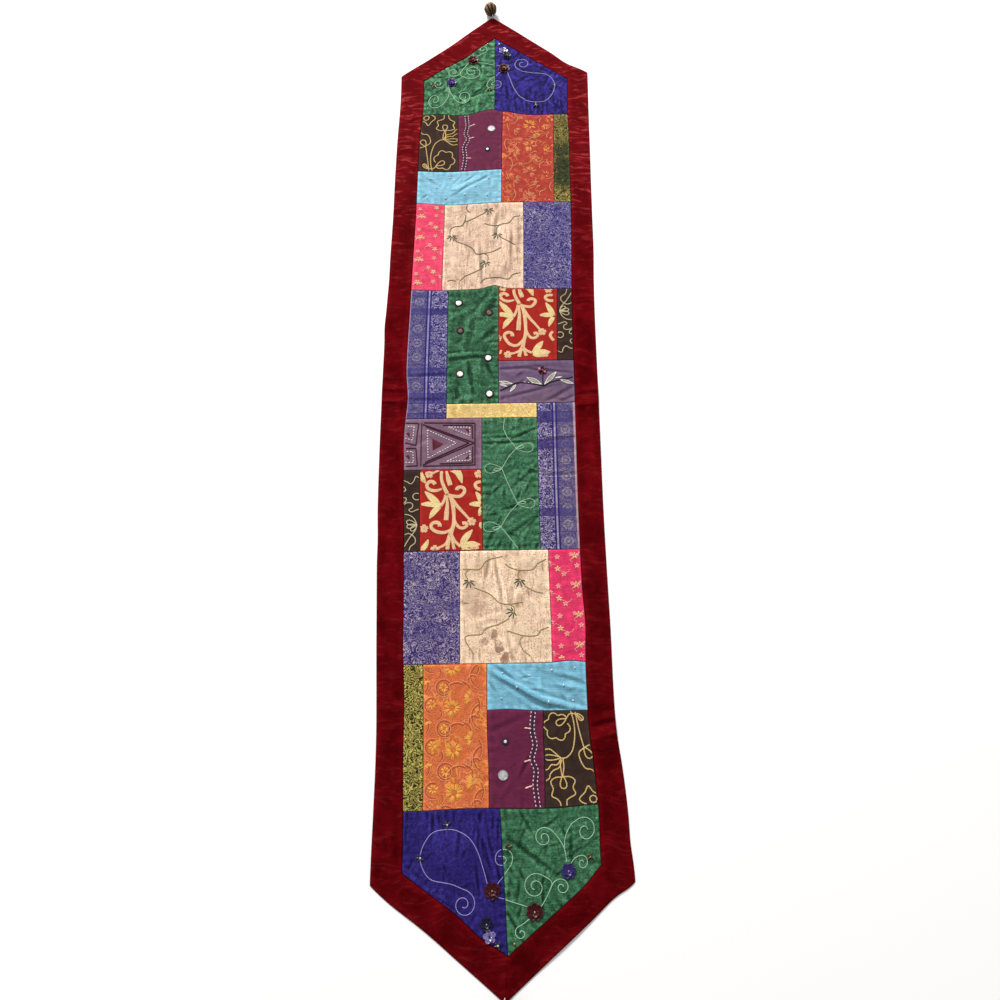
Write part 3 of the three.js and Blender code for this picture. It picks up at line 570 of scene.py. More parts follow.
class Net:
    """Puts nodes in one material or node group and wires them."""

    def __init__(self, tree):
        self.tree = tree

    def node(self, kind, inputs=None, **settings):
        made = self.tree.nodes.new("ShaderNode" + kind)
        for key, value in settings.items():
            setattr(made, key, value)
        for key, value in (inputs or {}).items():
            self.feed(made.inputs[key], value)
        return made

    def feed(self, socket, value):
        if isinstance(value, bpy.types.NodeSocket):
            self.tree.links.new(value, socket)
        elif socket.type == "RGBA" and len(value) == 3:
            socket.default_value = (*value, 1.0)
        else:
            socket.default_value = value

    def math(self, operation, a, b=0.0, c=0.0):
        return self.node("Math", {0: a, 1: b, 2: c}, operation=operation).outputs[0]

    def vector(self, operation, a, b=(0, 0, 0), scale=1.0):
        made = self.node("VectorMath", {0: a, 1: b, 3: scale}, operation=operation)
        return made.outputs["Value" if operation in ("LENGTH", "DISTANCE", "DOT_PRODUCT") else "Vector"]

    def split(self, vector):
        return self.node("SeparateXYZ", {0: vector}).outputs

    def join(self, x, y, z=0.0):
        return self.node("CombineXYZ", {0: x, 1: y, 2: z}).outputs[0]

    def between(self, value, low, high, start=0.0, end=1.0):
        """A soft step from start to end as value goes from low to high."""
        steps = {"Value": value, "From Min": low, "From Max": high, "To Min": start, "To Max": end}
        return self.node("MapRange", steps, interpolation_type="SMOOTHSTEP").outputs["Result"]

    def mix(self, share, a, b, blend="MIX"):
        made = self.node("Mix", {0: share, 6: a, 7: b}, data_type="RGBA", blend_type=blend)
        return made.outputs[2]

    def by_half(self, place, colour, near, far, point=None):
        """The colour times one tint on the near half and others on the far half and its point. On a silk, a
        far half or point tinted lighter than the near half is painted sheen.
        """
        along = self.split(place)[1]
        tint = self.mix(self.between(along, -60.0, 60.0), near, far)
        if point:
            tint = self.mix(self.between(along, 280.0, 640.0), tint, point)
        return self.mix(1.0, colour, tint, "MULTIPLY")

    def shade(self, colour, amount):
        """A colour made lighter or darker all over."""
        return self.vector("SCALE", colour, scale=amount)

    def noise(self, place, pitch, detail=2.0, roughness=0.5, distortion=0.0):
        scale = {"Vector": place, "Scale": 1 / pitch, "Detail": detail, "Roughness": roughness,
                 "Distortion": distortion}
        return self.node("TexNoise", scale).outputs[0]

    def use(self, group, **inputs):
        made = self.tree.nodes.new("ShaderNodeGroup")
        made.node_tree = group
        for key, value in inputs.items():
            self.feed(made.inputs[key.replace("_", " ").capitalize()], value)
        return made.outputs


def node_group(name, inputs, outputs):
    """An empty shader group with named sockets: {name: (kind, default)} in, {name: kind} out."""
    tree = bpy.data.node_groups.new(name, "ShaderNodeTree")
    for key, (kind, default) in inputs.items():
        socket = tree.interface.new_socket(key, in_out="INPUT", socket_type="NodeSocket" + kind)
        if default is not None:
            socket.default_value = default
    for key, kind in outputs.items():
        tree.interface.new_socket(key, in_out="OUTPUT", socket_type="NodeSocket" + kind)
    net = Net(tree)
    return net, tree.nodes.new("NodeGroupInput").outputs, tree.nodes.new("NodeGroupOutput").inputs


def weave_group():
    """Plain weave: warp and weft threads that pass over and under, with thick places in the weft."""
    net, given, out = node_group(
        "plain weave",
        {"Place": ("Vector", None), "Warp": ("Float", 0.7), "Weft": ("Float", 0.7)},
        {"Height": "Float", "Slub": "Float"})
    x, y, _ = net.split(given["Place"])
    across = net.math("DIVIDE", x, given["Warp"])
    along = net.math("DIVIDE", y, given["Weft"])
    warp = net.math("SINE", net.math("MULTIPLY", across, math.pi))
    weft = net.math("SINE", net.math("MULTIPLY", along, math.pi))
    over = net.between(net.math("MULTIPLY", warp, weft), -0.2, 0.2)
    warp, weft = net.math("ABSOLUTE", warp), net.math("ABSOLUTE", weft)
    rise = net.math("MULTIPLY_ADD", over, net.math("SUBTRACT", warp, weft), weft)
    streak = net.noise(net.join(net.math("MULTIPLY", x, 0.07), y), 1.9, 2.0, 0.6)
    net.feed(out["Height"], rise)
    net.feed(out["Slub"], net.between(streak, 0.42, 0.68))
    return net.tree


def crush_group():
    """Silk that has been crushed and pressed: mottled facets and thin creases that come and go."""
    net, given, out = node_group(
        "crushed silk",
        {"Place": ("Vector", None), "Pitch": ("Float", 24.0)},
        {"Facet": "Float", "Crease": "Float"})
    place = net.vector("SCALE", given["Place"], scale=net.math("DIVIDE", 1.0, given["Pitch"]))
    broad = net.noise(place, 1.4, 3.0, 0.6, 0.6)
    fine = net.noise(place, 0.16, 3.0, 0.7)
    net.feed(out["Facet"], net.math("MULTIPLY_ADD", fine, 0.5, net.math("MULTIPLY", broad, 0.5)))
    line = net.math("ABSOLUTE", net.math("SUBTRACT", net.noise(
        net.vector("MULTIPLY", place, (1.0, 0.7, 1.0)), 0.8, 2.5, 0.55, 1.2), 0.5))
    shown = net.between(net.noise(place, 0.9, 1.0), 0.46, 0.62)
    net.feed(out["Crease"], net.math("MULTIPLY", net.between(line, 0.0, 0.045, 1.0, 0.0), shown))
    return net.tree


def wander_group():
    """Close wandering lines of laid thread, curled back on themselves."""
    net, given, out = node_group(
        "wandering lines",
        {"Place": ("Vector", None), "Pitch": ("Float", 4.0), "Turns": ("Float", 3.0),
         "Line": ("Float", 0.35)},
        {"Lines": "Float"})
    place = net.vector("SCALE", given["Place"], scale=net.math("DIVIDE", 1.0, given["Pitch"]))
    hills = net.noise(place, 1.9, 1.0, 0.4, 0.9)
    wave = net.math("SINE", net.math("MULTIPLY", hills, net.math("MULTIPLY", given["Turns"], 6.283)))
    ridge = net.math("ABSOLUTE", wave)
    net.feed(out["Lines"], net.between(ridge, given["Line"], net.math("MULTIPLY", given["Line"], 2.1), 1, 0))
    return net.tree


def pile_group():
    """Velvet pile: soft blotches, pale strokes across where it was brushed, and the hairs."""
    net, given, out = node_group(
        "pile", {"Place": ("Vector", None)}, {"Tone": "Float", "Stroke": "Float", "Height": "Float"})
    place = given["Place"]
    bend = net.vector("SCALE", net.vector("SUBTRACT", net.node(
        "TexNoise", {"Vector": place, "Scale": 1 / 40.0, "Detail": 1.0}).outputs[1], (0.5, 0.5, 0.5)),
        scale=26.0)
    brushed = net.vector("MULTIPLY", net.vector("ADD", place, bend), (0.11, 1.0, 1.0))
    strokes = net.noise(brushed, 5.5, 3.0, 0.6)
    blotch = net.noise(place, 34.0, 3.0, 0.6)
    hairs = net.noise(place, 1.6, 2.0, 0.75)
    net.feed(out["Tone"], net.math("MULTIPLY_ADD", hairs, 0.5, net.math("MULTIPLY", blotch, 0.5)))
    net.feed(out["Stroke"], net.math("MULTIPLY", net.between(strokes, 0.5, 0.7),
                                     net.between(blotch, 0.32, 0.54)))
    net.feed(out["Height"], net.math("MULTIPLY_ADD", strokes, 0.8, hairs))
    return net.tree


WEAVE = weave_group()
CRUSH = crush_group()
WANDER = wander_group()
PILE = pile_group()


def new_material(name):
    """A material with its net, its shader and where on the cut cloth a point is, in millimetres."""
    made = bpy.data.materials.new(name)
    made.use_nodes = True
    net = Net(made.node_tree)
    shader = made.node_tree.nodes["Principled BSDF"]
    cutting = net.node("Attribute", attribute_name="cutting").outputs["Vector"]
    return made, net, shader, net.vector("SCALE", cutting, scale=10.0)


def finish_cloth(net, shader, colour, height, depth, rough, sheen, gloss=0.06, fold=0.5):
    """Wires a cloth's colour, with painted shade in its hollows and along its seams and a painted highlight
    on its ridges, and its raised threads.
    """
    folds = net.split(net.node("Attribute", attribute_name="folds").outputs["Vector"])
    # hollow paints shade in the cloth's hollows and a highlight on its ridges, as strong as fold says; seam
    # paints shade in the groove along each seam.
    hollow = net.between(folds[0], -0.9, 0.9, 1.0 + fold, 1.0 - fold)
    seam = net.between(folds[1], 0.1, 1.3, 0.45, 1.0)
    net.feed(shader.inputs["Base Color"], net.shade(colour, net.math("MULTIPLY", hollow, seam)))
    bump = net.node("Bump", {"Strength": 1.0, "Distance": depth * MM, "Height": height})
    net.feed(shader.inputs["Normal"], bump.outputs[0])
    net.feed(shader.inputs["Roughness"], rough)
    shader.inputs["Sheen Weight"].default_value = sheen[0]
    shader.inputs["Sheen Roughness"].default_value = sheen[1]
    shader.inputs["Sheen Tint"].default_value = (*sheen[2], 1.0)
    shader.inputs["Specular IOR Level"].default_value = gloss


# Stains on the near cream silk: place, radius, and how strong each is.
STAINS = ((1, -399, 6, 0.85), (10, -422, 6, 0.9), (18, -436, 8, 0.95), (-15, -412, 6, 0.6),
          (-30, -340, 22, 0.3),
          (-14, -288, 15, 0.25))


def silk(name, painted_shade, body, bright, crush=0.5, slub=0.3, pitch=24.0, stains=None, halves=None):
    """A crushed silk: its body colour, with painted shade on its darker facets and in its creases, a painted
    highlight on its lighter facets, and brighter thick threads.
    """
    made, net, shader, place = new_material(name)
    weave = net.use(WEAVE, place=place)
    crushed = net.use(CRUSH, place=place, pitch=pitch)
    # The facets are painted darker towards the shade colour and lighter towards bright, and the creases
    # dark: painted light and shade of the crush, which the bump also shows.
    facet = net.between(crushed["Facet"], 0.48 - 0.12 * crush, 0.5)
    colour = net.mix(facet, net.mix(0.35 * crush, body, painted_shade), body)
    colour = net.mix(net.math("MULTIPLY", net.between(crushed["Facet"], 0.5, 0.66), crush), colour, bright)
    colour = net.mix(net.math("MULTIPLY", weave["Slub"], slub), colour, bright)
    colour = net.mix(net.math("MULTIPLY", crushed["Crease"], 0.7 * crush), colour, painted_shade)
    grain = net.noise(net.vector("MULTIPLY", place, (0.45, 1.0, 1.0)), 1.5, 2.0, 0.8)
    colour = net.shade(colour, net.between(grain, 0.32, 0.68, 1.0 - 0.36 * crush, 1.0 + 0.36 * crush))
    # On the most crushed silks: painted light and shade on the facets, stronger towards the far end, and
    # broad painted light and shade of soft folds.
    if crush > 0.5:
        far = net.math("MULTIPLY", net.between(net.split(place)[1], 100.0, 640.0), 0.5)
        mottled = net.between(net.noise(place, 11.0, 3.0, 0.65, 0.5), 0.36, 0.64, -1.0, 1.0)
        colour = net.shade(colour, net.math("MULTIPLY_ADD", mottled, far, 1.0))
        drawn = net.vector("MULTIPLY", place, (1.0, 0.55, 1.0))
        colour = net.shade(colour, net.between(net.noise(drawn, 3.4, 3.0, 0.7, 0.4), 0.36, 0.64, 0.76, 1.2))
    if stains:
        streaks = net.noise(net.vector("MULTIPLY", place, (1.0, 0.12, 1.0)), 3.0, 3.0, 0.7)
        streaks = net.math("MULTIPLY", net.between(streaks, 0.5, 0.7), net.between(
            net.noise(place, 44.0, 1.0), 0.36, 0.56))
        colour = net.mix(net.math("MULTIPLY", streaks, 0.8), colour, stains)
        colour = net.mix(net.between(net.noise(place, 34.0, 3.0, 0.65, 0.8), 0.52, 0.62, 0.0, 0.35), colour,
                         stains)
        specks = net.math("MULTIPLY", net.between(net.noise(place, 2.4, 2.0, 0.7), 0.55, 0.63), net.between(
            net.noise(place, 20.0, 1.0), 0.38, 0.55, 0.2, 0.8))
        colour = net.mix(specks, colour, (0.36, 0.16, 0.11))
        ragged = net.math("MULTIPLY", net.noise(place, 9.0, 3.0, 0.65), 22.0)
        flat = net.vector("MULTIPLY", place, (1.0, 0.8, 0.0))
        for across, along, size, strength in STAINS:
            away = net.vector("LENGTH", net.vector("SUBTRACT", flat, (across, 0.8 * along, 0.0)))
            colour = net.mix(net.between(net.math("ADD", away, ragged), size + 9, size + 13, strength, 0.0),
                             colour,
                             stains)
    height = net.math("MULTIPLY_ADD", crushed["Crease"], -1.2 * crush,
                      net.math("MULTIPLY", weave["Height"], 0.25))
    rough = net.between(weave["Slub"], 0.0, 1.0, 0.52, 0.4)
    if halves:
        colour = net.by_half(place, colour, *halves)
    finish_cloth(net, shader, colour, height, 0.55, rough, (0.03, 0.35, bright), 0.05, 0.35 + 0.4 * crush)
    return made


def brocade(name, ground, figure, second, pitch, turns, line, halves=None, depth=0.25, clear=0.35):
    """A brocade: wandering figure threads over its ground, some of them in a second colour."""
    made, net, shader, place = new_material(name)
    weave = net.use(WEAVE, place=place)
    lines = net.use(WANDER, place=place, pitch=pitch, turns=turns, line=line)["Lines"]
    patchy = net.between(net.noise(place, 24.0, 2.0), 0.38, 0.62)
    lines = net.math("MULTIPLY", lines, net.between(net.noise(place, 2.6, 1.0), 0.3, 0.5, clear, 1.0))
    worn = net.between(net.noise(place, 46.0, 1.0), 0.36, 0.6, 0.62, 1.0)
    lines = net.math("MULTIPLY", lines, worn)
    colour = net.mix(lines, ground, net.mix(patchy, figure, second))
    if halves:
        colour = net.by_half(place, colour, *halves)
    height = net.math("MULTIPLY_ADD", lines, 1.4, net.math("MULTIPLY", weave["Height"], 0.5))
    finish_cloth(net, shader, colour, height, depth, 0.62, (0.04, 0.4, figure))
    return made


def band(net, value, start, end, soft=0.4):
    """1 where value lies between start and end, and 0 elsewhere."""
    inside = net.between(value, start - soft, start + soft)
    return net.math("MULTIPLY", inside, net.between(value, end - soft, end + soft, 1.0, 0.0))


def striped_brocade():
    """A border brocade: worm-like figures, a light line between dark ones, a greyer outer band with
    rosettes, and plain bands across."""
    made, net, shader, place = new_material("stripe_brocade")
    weave = net.use(WEAVE, place=place)
    out, along, _ = (net.math("ABSOLUTE", part) for part in net.split(place))
    plain = net.math("ADD", band(net, along, 8, 30, 1.2), net.math(
        "ADD", band(net, along, 62, 80, 1.2), band(net, along, 188, 202, 1.2)))
    figured = net.math("SUBTRACT", 1.0, net.math("MULTIPLY", plain, 0.8))
    worms = net.use(WANDER, place=place, pitch=4.2, turns=3.0, line=0.36)["Lines"]
    specks = net.between(net.noise(place, 1.9, 2.0, 0.8), 0.46, 0.6)
    colour = net.mix(net.math("MULTIPLY", worms, figured), (0.036, 0.026, 0.16), (0.38, 0.33, 0.47))
    greyer = net.mix(net.math("MULTIPLY", specks, figured), (0.06, 0.048, 0.19), (0.22, 0.18, 0.27))
    colour = net.mix(net.between(out, 114.0, 117.0), colour, greyer)
    row = net.math("PINGPONG", net.math("ADD", along, 14.5), 14.5)
    rosette = net.vector("LENGTH", net.join(net.math("SUBTRACT", out, 130.0), row))
    rings = net.math("MULTIPLY_ADD", net.math("SINE", net.math("MULTIPLY", rosette, 1.15)), 0.5, 0.5)
    rings = net.math("MULTIPLY", rings, net.between(net.noise(place, 2.4, 1.0), 0.36, 0.56, 0.2, 1.0))
    rings = net.math("MULTIPLY", net.math("MULTIPLY", rings, net.between(rosette, 8.5, 10.0, 1.0, 0.0)),
                     figured)
    colour = net.mix(net.math("MULTIPLY", rings, 0.8), colour, (0.36, 0.31, 0.36))
    colour = net.mix(band(net, out, 107.5, 116.5, 0.5), colour, (0.03, 0.02, 0.16))
    bright = net.math("MULTIPLY", band(net, out, 110.5, 113.5),
                      net.math("SUBTRACT", 1.0, net.math("MULTIPLY", plain, 0.5)))
    colour = net.mix(bright, colour, (0.34, 0.3, 0.46))
    lines = net.math("LESS_THAN", net.math("ABSOLUTE", net.math(
        "SUBTRACT", net.math("PINGPONG", along, 24.0), 10.0)), 0.5)
    colour = net.mix(net.math("MULTIPLY", lines, 0.6), colour, (0.03, 0.02, 0.13))
    colour = net.mix(net.between(out, 144.2, 144.8, 0.0, 0.8), colour, (0.5, 0.3, 0.34))
    height = net.math("MULTIPLY_ADD", worms, 1.2, net.math("MULTIPLY", weave["Height"], 0.5))
    colour = net.by_half(place, colour, (1.03, 1.0, 0.94), (0.86, 0.88, 0.97))
    finish_cloth(net, shader, colour, height, 0.25, 0.62, (0.03, 0.4, (0.3, 0.25, 0.4)))
    return made


def orange_brocade():
    """Orange where it lies near and coral at the far end, with faint wandering threads of gold."""
    made, net, shader, place = new_material("orange_brocade")
    weave = net.use(WEAVE, place=place)
    far = net.between(net.split(place)[1], -100.0, 100.0)
    lines = net.use(WANDER, place=place, pitch=7.5, turns=2.0, line=0.3)["Lines"]
    patchy = net.between(net.noise(place, 26.0, 2.0), 0.42, 0.6)
    lines = net.math("MULTIPLY", lines, net.between(net.noise(place, 30.0, 1.0), 0.42, 0.6, 0.1, 0.8))
    ground = net.mix(far, (0.6, 0.145, 0.05), (0.44, 0.052, 0.034))
    grain = net.noise(place, 1.7, 2.0, 0.8)
    ground = net.shade(ground, net.between(grain, 0.3, 0.7, 0.62, 1.38))
    figure = net.mix(patchy, (0.8, 0.27, 0.13), net.mix(far, (0.78, 0.36, 0.06), (0.74, 0.3, 0.06)))
    colour = net.mix(lines, ground, figure)
    height = net.math("MULTIPLY_ADD", lines, 1.2, net.math("MULTIPLY", weave["Height"], 0.5))
    colour = net.by_half(place, colour, (1.05, 1.0, 0.98), (0.86, 0.76, 0.82))
    finish_cloth(net, shader, colour, height, 0.25, 0.62, (0.04, 0.4, (0.8, 0.3, 0.1)))
    return made


def olive_brocade():
    """Close curls of yellow thread on nearly black green; at the far end they come and go."""
    made, net, shader, place = new_material("olive_brocade")
    weave = net.use(WEAVE, place=place)
    lines = net.use(WANDER, place=place, pitch=4.6, turns=3.0, line=0.46)["Lines"]
    lines = net.math("MULTIPLY", lines, net.between(net.noise(place, 2.6, 1.0), 0.3, 0.5, 0.4, 1.0))
    along = net.split(place)[1]
    bare = net.math("MULTIPLY", net.between(along, 450.0, 490.0), net.between(along, 560.0, 600.0, 1.0, 0.3))
    bare = net.math("MULTIPLY", bare, net.between(net.noise(place, 16.0, 2.0), 0.34, 0.5, 0.6, 1.0))
    lines = net.math("MULTIPLY", lines, net.math("MULTIPLY_ADD", bare, -0.85, 1.0))
    tone = net.between(net.noise(place, 2.0, 2.0, 0.7), 0.35, 0.65)
    colour = net.mix(lines, net.mix(bare, (0.024, 0.024, 0.007), (0.014, 0.032, 0.013)), net.mix(
        tone, (0.34, 0.29, 0.06), (0.66, 0.57, 0.15)))
    height = net.math("MULTIPLY_ADD", lines, 1.4, net.math("MULTIPLY", weave["Height"], 0.5))
    colour = net.by_half(place, colour, (1.0, 0.97, 0.97), (0.76, 0.7, 0.75))
    finish_cloth(net, shader, colour, height, 0.25, 0.62, (0.03, 0.4, (0.5, 0.45, 0.2)))
    return made


def plain_cloth(name, ground, light, halves=None, grain=0.35):
    """A plain woven cotton or wool with a visible grain."""
    made, net, shader, place = new_material(name)
    weave = net.use(WEAVE, place=place, warp=0.9, weft=0.9)
    fleck = net.between(net.noise(place, 1.6, 3.0, 0.7), 0.35, 0.7)
    broad = net.between(net.noise(place, 30.0, 2.0), 0.3, 0.7, 0.0, 0.5)
    share = net.math("MULTIPLY", net.math("ADD", fleck, broad), grain)
    colour = net.mix(share, ground, light)
    if halves:
        colour = net.by_half(place, colour, *halves)
    finish_cloth(net, shader, colour, weave["Height"], 0.2, 0.8, (0.05, 0.5, light), 0.06)
    return made


def velvet_cloth():
    """Dark red velvet: nearly black red into the pile, with a painted sheen that grows towards the far end
    and brings out its pale strokes there.
    """
    made, net, shader, place = new_material("velvet")
    pile = net.use(PILE, place=place)
    far = net.between(net.split(place)[1], 100.0, 700.0)
    colour = net.mix(net.between(pile["Tone"], 0.36, 0.64), (0.055, 0.001, 0.002), (0.115, 0.002, 0.004))
    middle = net.between(net.math("ABSOLUTE", net.split(place)[1]), 200.0, 520.0, 1.2, 1.0)
    colour = net.shade(colour, middle)
    # Painted sheen: a lighter red and stronger pale strokes towards the far end.
    colour = net.mix(net.math("MULTIPLY", far, 0.4), colour, (0.17, 0.008, 0.011))
    colour = net.mix(net.math("MULTIPLY", pile["Stroke"], net.between(far, 0.0, 1.0, 0.12, 0.95)), colour,
                     (0.34, 0.034, 0.036))
    finish_cloth(net, shader, colour, pile["Height"], 0.5, 0.9, (0.3, 0.3, (0.85, 0.055, 0.06)), 0.0)
    return made


CLOTH_MATERIALS = {
    "velvet": velvet_cloth(),
    "green_silk": silk("green_silk", (0.007, 0.04, 0.022), (0.034, 0.12, 0.06), (0.095, 0.24, 0.13), 0.85,
                       0.35, 20,
                       halves=((1.04, 1.06, 1.04), (0.86, 0.9, 0.88), (1.13, 1.17, 1.09))),
    "violet_silk": silk("violet_silk", (0.006, 0.004, 0.045), (0.021, 0.014, 0.13), (0.05, 0.037, 0.26), 0.6,
                        0.15,
                        halves=((1.06, 1.04, 1.04), (0.94, 0.9, 1.14))),
    "plum_silk": silk("plum_silk", (0.055, 0.007, 0.024), (0.127, 0.017, 0.051), (0.183, 0.03, 0.075), 0.25,
                      0.3, 22),
    "turquoise_silk": silk("turquoise_silk", (0.08, 0.28, 0.42), (0.18, 0.44, 0.59), (0.36, 0.64, 0.76),
                           0.35, 0.5, 20,
                           halves=((0.9, 0.95, 0.96), (1.08, 1.02, 1.01))),
    "pink_silk": silk("pink_silk", (0.5, 0.014, 0.07), (0.76, 0.04, 0.13), (0.9, 0.1, 0.19), 0.35, 0.4, 20,
                      halves=((0.97, 0.9, 0.97), (1.0, 1.35, 1.0))),
    "cream_silk": silk("cream_silk", (0.5, 0.35, 0.26), (0.82, 0.61, 0.42), (0.95, 0.8, 0.62), 0.35, 0.5, 16,
                       stains=(0.3, 0.17, 0.12), halves=((1.1, 1.07, 1.06), (0.95, 0.9, 0.93))),
    "orange_brocade": orange_brocade(),
    "olive_brocade": olive_brocade(),
    "lavender_brocade": brocade("lavender_brocade", (0.042, 0.03, 0.16), (0.56, 0.48, 0.52),
                                (0.4, 0.35, 0.47),
                                4.0, 3.0, 0.34, ((1.02, 0.96, 0.96), (0.78, 0.79, 0.97))),
    "stripe_brocade": striped_brocade(),
    "yellow_brocade": brocade("yellow_brocade", (0.54, 0.33, 0.09), (0.96, 0.78, 0.38), (0.94, 0.7, 0.28),
                              3.4, 3.0, 0.55),
    "brown_cloth": plain_cloth("brown_cloth", (0.03, 0.0165, 0.0128), (0.08, 0.048, 0.038)),
    "red_crewel": plain_cloth("red_crewel", (0.34, 0.016, 0.012), (0.48, 0.036, 0.026)),
    "mauve_cloth": plain_cloth("mauve_cloth", (0.13, 0.075, 0.125), (0.3, 0.2, 0.27),
                               ((1.34, 1.27, 1.18), (0.88, 0.9, 1.04))),
}

THREADS = {
    "gold": (0.84, 0.6, 0.24), "cream": (0.8, 0.7, 0.42), "olive": (0.4, 0.33, 0.13),
    "moss": (0.2, 0.17, 0.09),
    "leaf_green": (0.015, 0.07, 0.04), "mint": (0.4, 0.66, 0.44), "navy": (0.02, 0.02, 0.07),
    "white": (0.9, 0.88, 0.85), "pink": (1.0, 0.6, 0.52), "dark_plum": (0.07, 0.012, 0.03),
    "maroon": (0.13, 0.008, 0.03), "near_black": (0.012, 0.01, 0.014), "daisy": (0.95, 0.46, 0.07),
    "coral": (0.88, 0.3, 0.13), "salmon": (0.95, 0.33, 0.3), "straw": (0.95, 0.5, 0.27),
    "peach": (0.97, 0.66, 0.38), "butter": (1.0, 0.8, 0.4), "silver": (0.42, 0.38, 0.42),
    "leaf_grey": (0.55, 0.54, 0.36),
    "ember": (0.8, 0.3, 0.13), "rust": (0.4, 0.075, 0.03),
    "blush": (0.88, 0.72, 0.68), "lavender": (0.38, 0.35, 0.68), "rim_brown": (0.035, 0.013, 0.012),
}


def strand_group():
    """Twisted thread: slanting strands, and no two stitches quite the same shade."""
    net, given, out = node_group("twisted strand", {"Strand": ("Vector", None)},
                                 {"Shade": "Float", "Height": "Float"})
    along, around, random = net.split(given["Strand"])
    turn = net.math("MULTIPLY", net.math("ADD", net.math("DIVIDE", along, 1.1), around), 2 * math.pi)
    ply = net.math("MULTIPLY_ADD", net.math("SINE", turn), 0.5, 0.5)
    net.feed(out["Height"], ply)
    # ply darkens the colour between the plies of the twist: painted shade along with the bump; random is
    # each stitch's own tone.
    net.feed(out["Shade"], net.math("ADD", net.math("MULTIPLY_ADD", ply, 0.2, 0.8),
                                    net.math("MULTIPLY_ADD", random, 0.24, -0.12)))
    return net.tree


STRAND = strand_group()


def thread_material(name, colour):
    made, net, shader, _ = new_material(name + "_thread")
    strand = net.node("Attribute", attribute_name="strand").outputs["Vector"]
    twisted = net.use(STRAND, strand=strand)
    tone = net.node("RGB").outputs[0]
    tone.default_value = (*colour, 1.0)
    net.feed(shader.inputs["Base Color"], net.shade(tone, twisted["Shade"]))
    bump = net.node("Bump", {"Strength": 0.6, "Distance": 0.2 * MM, "Height": twisted["Height"]})
    net.feed(shader.inputs["Normal"], bump.outputs[0])
    shader.inputs["Roughness"].default_value = 0.5
    shader.inputs["Specular IOR Level"].default_value = 0.25
    return made


THREAD_MATERIALS = {name: thread_material(name, colour) for name, colour in THREADS.items()}

# ---------------------------------------------------------------- the surface, lights and camera

TABLE_SIZE = 14     # metres
TABLE_GAP = 0.3     # millimetres left under the cloth
TABLE_GLOW = 0.05
WINDOW_POWER = 505  # watts
SKY_STRENGTH = 0.46


def floor_material():
    made, _, shader, _ = new_material("pale surface")
    shader.inputs["Base Color"].default_value = (0.97, 0.97, 0.97, 1)
    shader.inputs["Emission Color"].default_value = (1, 1, 1, 1)
    shader.inputs["Emission Strength"].default_value = TABLE_GLOW
    shader.inputs["Roughness"].default_value = 0.9
    return made


bpy.ops.object.select_all(action="DESELECT")
bpy.ops.mesh.primitive_plane_add(size=TABLE_SIZE, location=(0, 0, -TABLE_GAP * MM))
table_top = bpy.context.object
table_top.name = "pale_surface"
table_top.data.materials.append(floor_material())


def soft_light(name, place, aim, width, depth, power, colour):
    """A rectangular soft light facing a point."""
    lamp = bpy.data.lights.new(name, "AREA")
    lamp.shape, lamp.size, lamp.size_y = "RECTANGLE", width, depth
    lamp.energy, lamp.color = power, colour
    placed = bpy.data.objects.new(name, lamp)
    placed.location = place
    placed.rotation_euler = (Vector(aim) - Vector(place)).to_track_quat("-Z", "Y").to_euler()
    bpy.context.scene.collection.objects.link(placed)


soft_light("far window", (-1.6, 4.9, 3.9), (0, 0.2, 0), 2.2, 1.6, WINDOW_POWER,
           (1.0, 0.985, 0.96))

world = bpy.data.worlds.new("studio")
world.use_nodes = True
world.node_tree.nodes["Background"].inputs["Color"].default_value = (1, 1, 1, 1)
world.node_tree.nodes["Background"].inputs["Strength"].default_value = SKY_STRENGTH
bpy.context.scene.world = world
bpy.context.scene.view_settings.view_transform = "Standard"

# Standing at the near end, looking down along the runner.
EYE = Vector((0.0301, -0.7264, 1.4181))
LENS, SENSOR_WIDTH, LENS_SHIFT = 32.94, 36, 0.0005
PITCH_DOWN, TURN, LEAN = math.radians(68.656), math.radians(-2.138), math.radians(-2.941)

camera = bpy.data.objects.new("camera", bpy.data.cameras.new("camera"))
camera.data.lens, camera.data.sensor_width = LENS, SENSOR_WIDTH
camera.data.shift_x, camera.data.shift_y = -LENS_SHIFT, LENS_SHIFT
right = Vector((math.cos(TURN), -math.sin(TURN), 0))
ahead = Vector((math.sin(TURN) * math.cos(PITCH_DOWN), math.cos(TURN) * math.cos(PITCH_DOWN),
                -math.sin(PITCH_DOWN)))
above = right.cross(ahead)
axes = Matrix((right * math.cos(LEAN) + above * math.sin(LEAN),
               above * math.cos(LEAN) - right * math.sin(LEAN), -ahead)).transposed()
camera.matrix_world = Matrix.Translation(EYE) @ axes.to_4x4()
bpy.context.scene.collection.objects.link(camera)
bpy.context.scene.camera = camera

# ---------------------------------------------------------------- lines to stitch along

CURVE_POINTS = 13  # on each part of a smooth line, both ends counted


def even(line, step=1.0):
    """The same line with its points about step millimetres apart."""
    run = np.concatenate([[0], np.cumsum(np.linalg.norm(np.diff(line, axis=0), axis=1))])
    places = np.linspace(0, run[-1], max(2, int(round(run[-1] / step)) + 1))
    return np.stack([np.interp(places, run, line[:, k]) for k in range(line.shape[1])], axis=1)


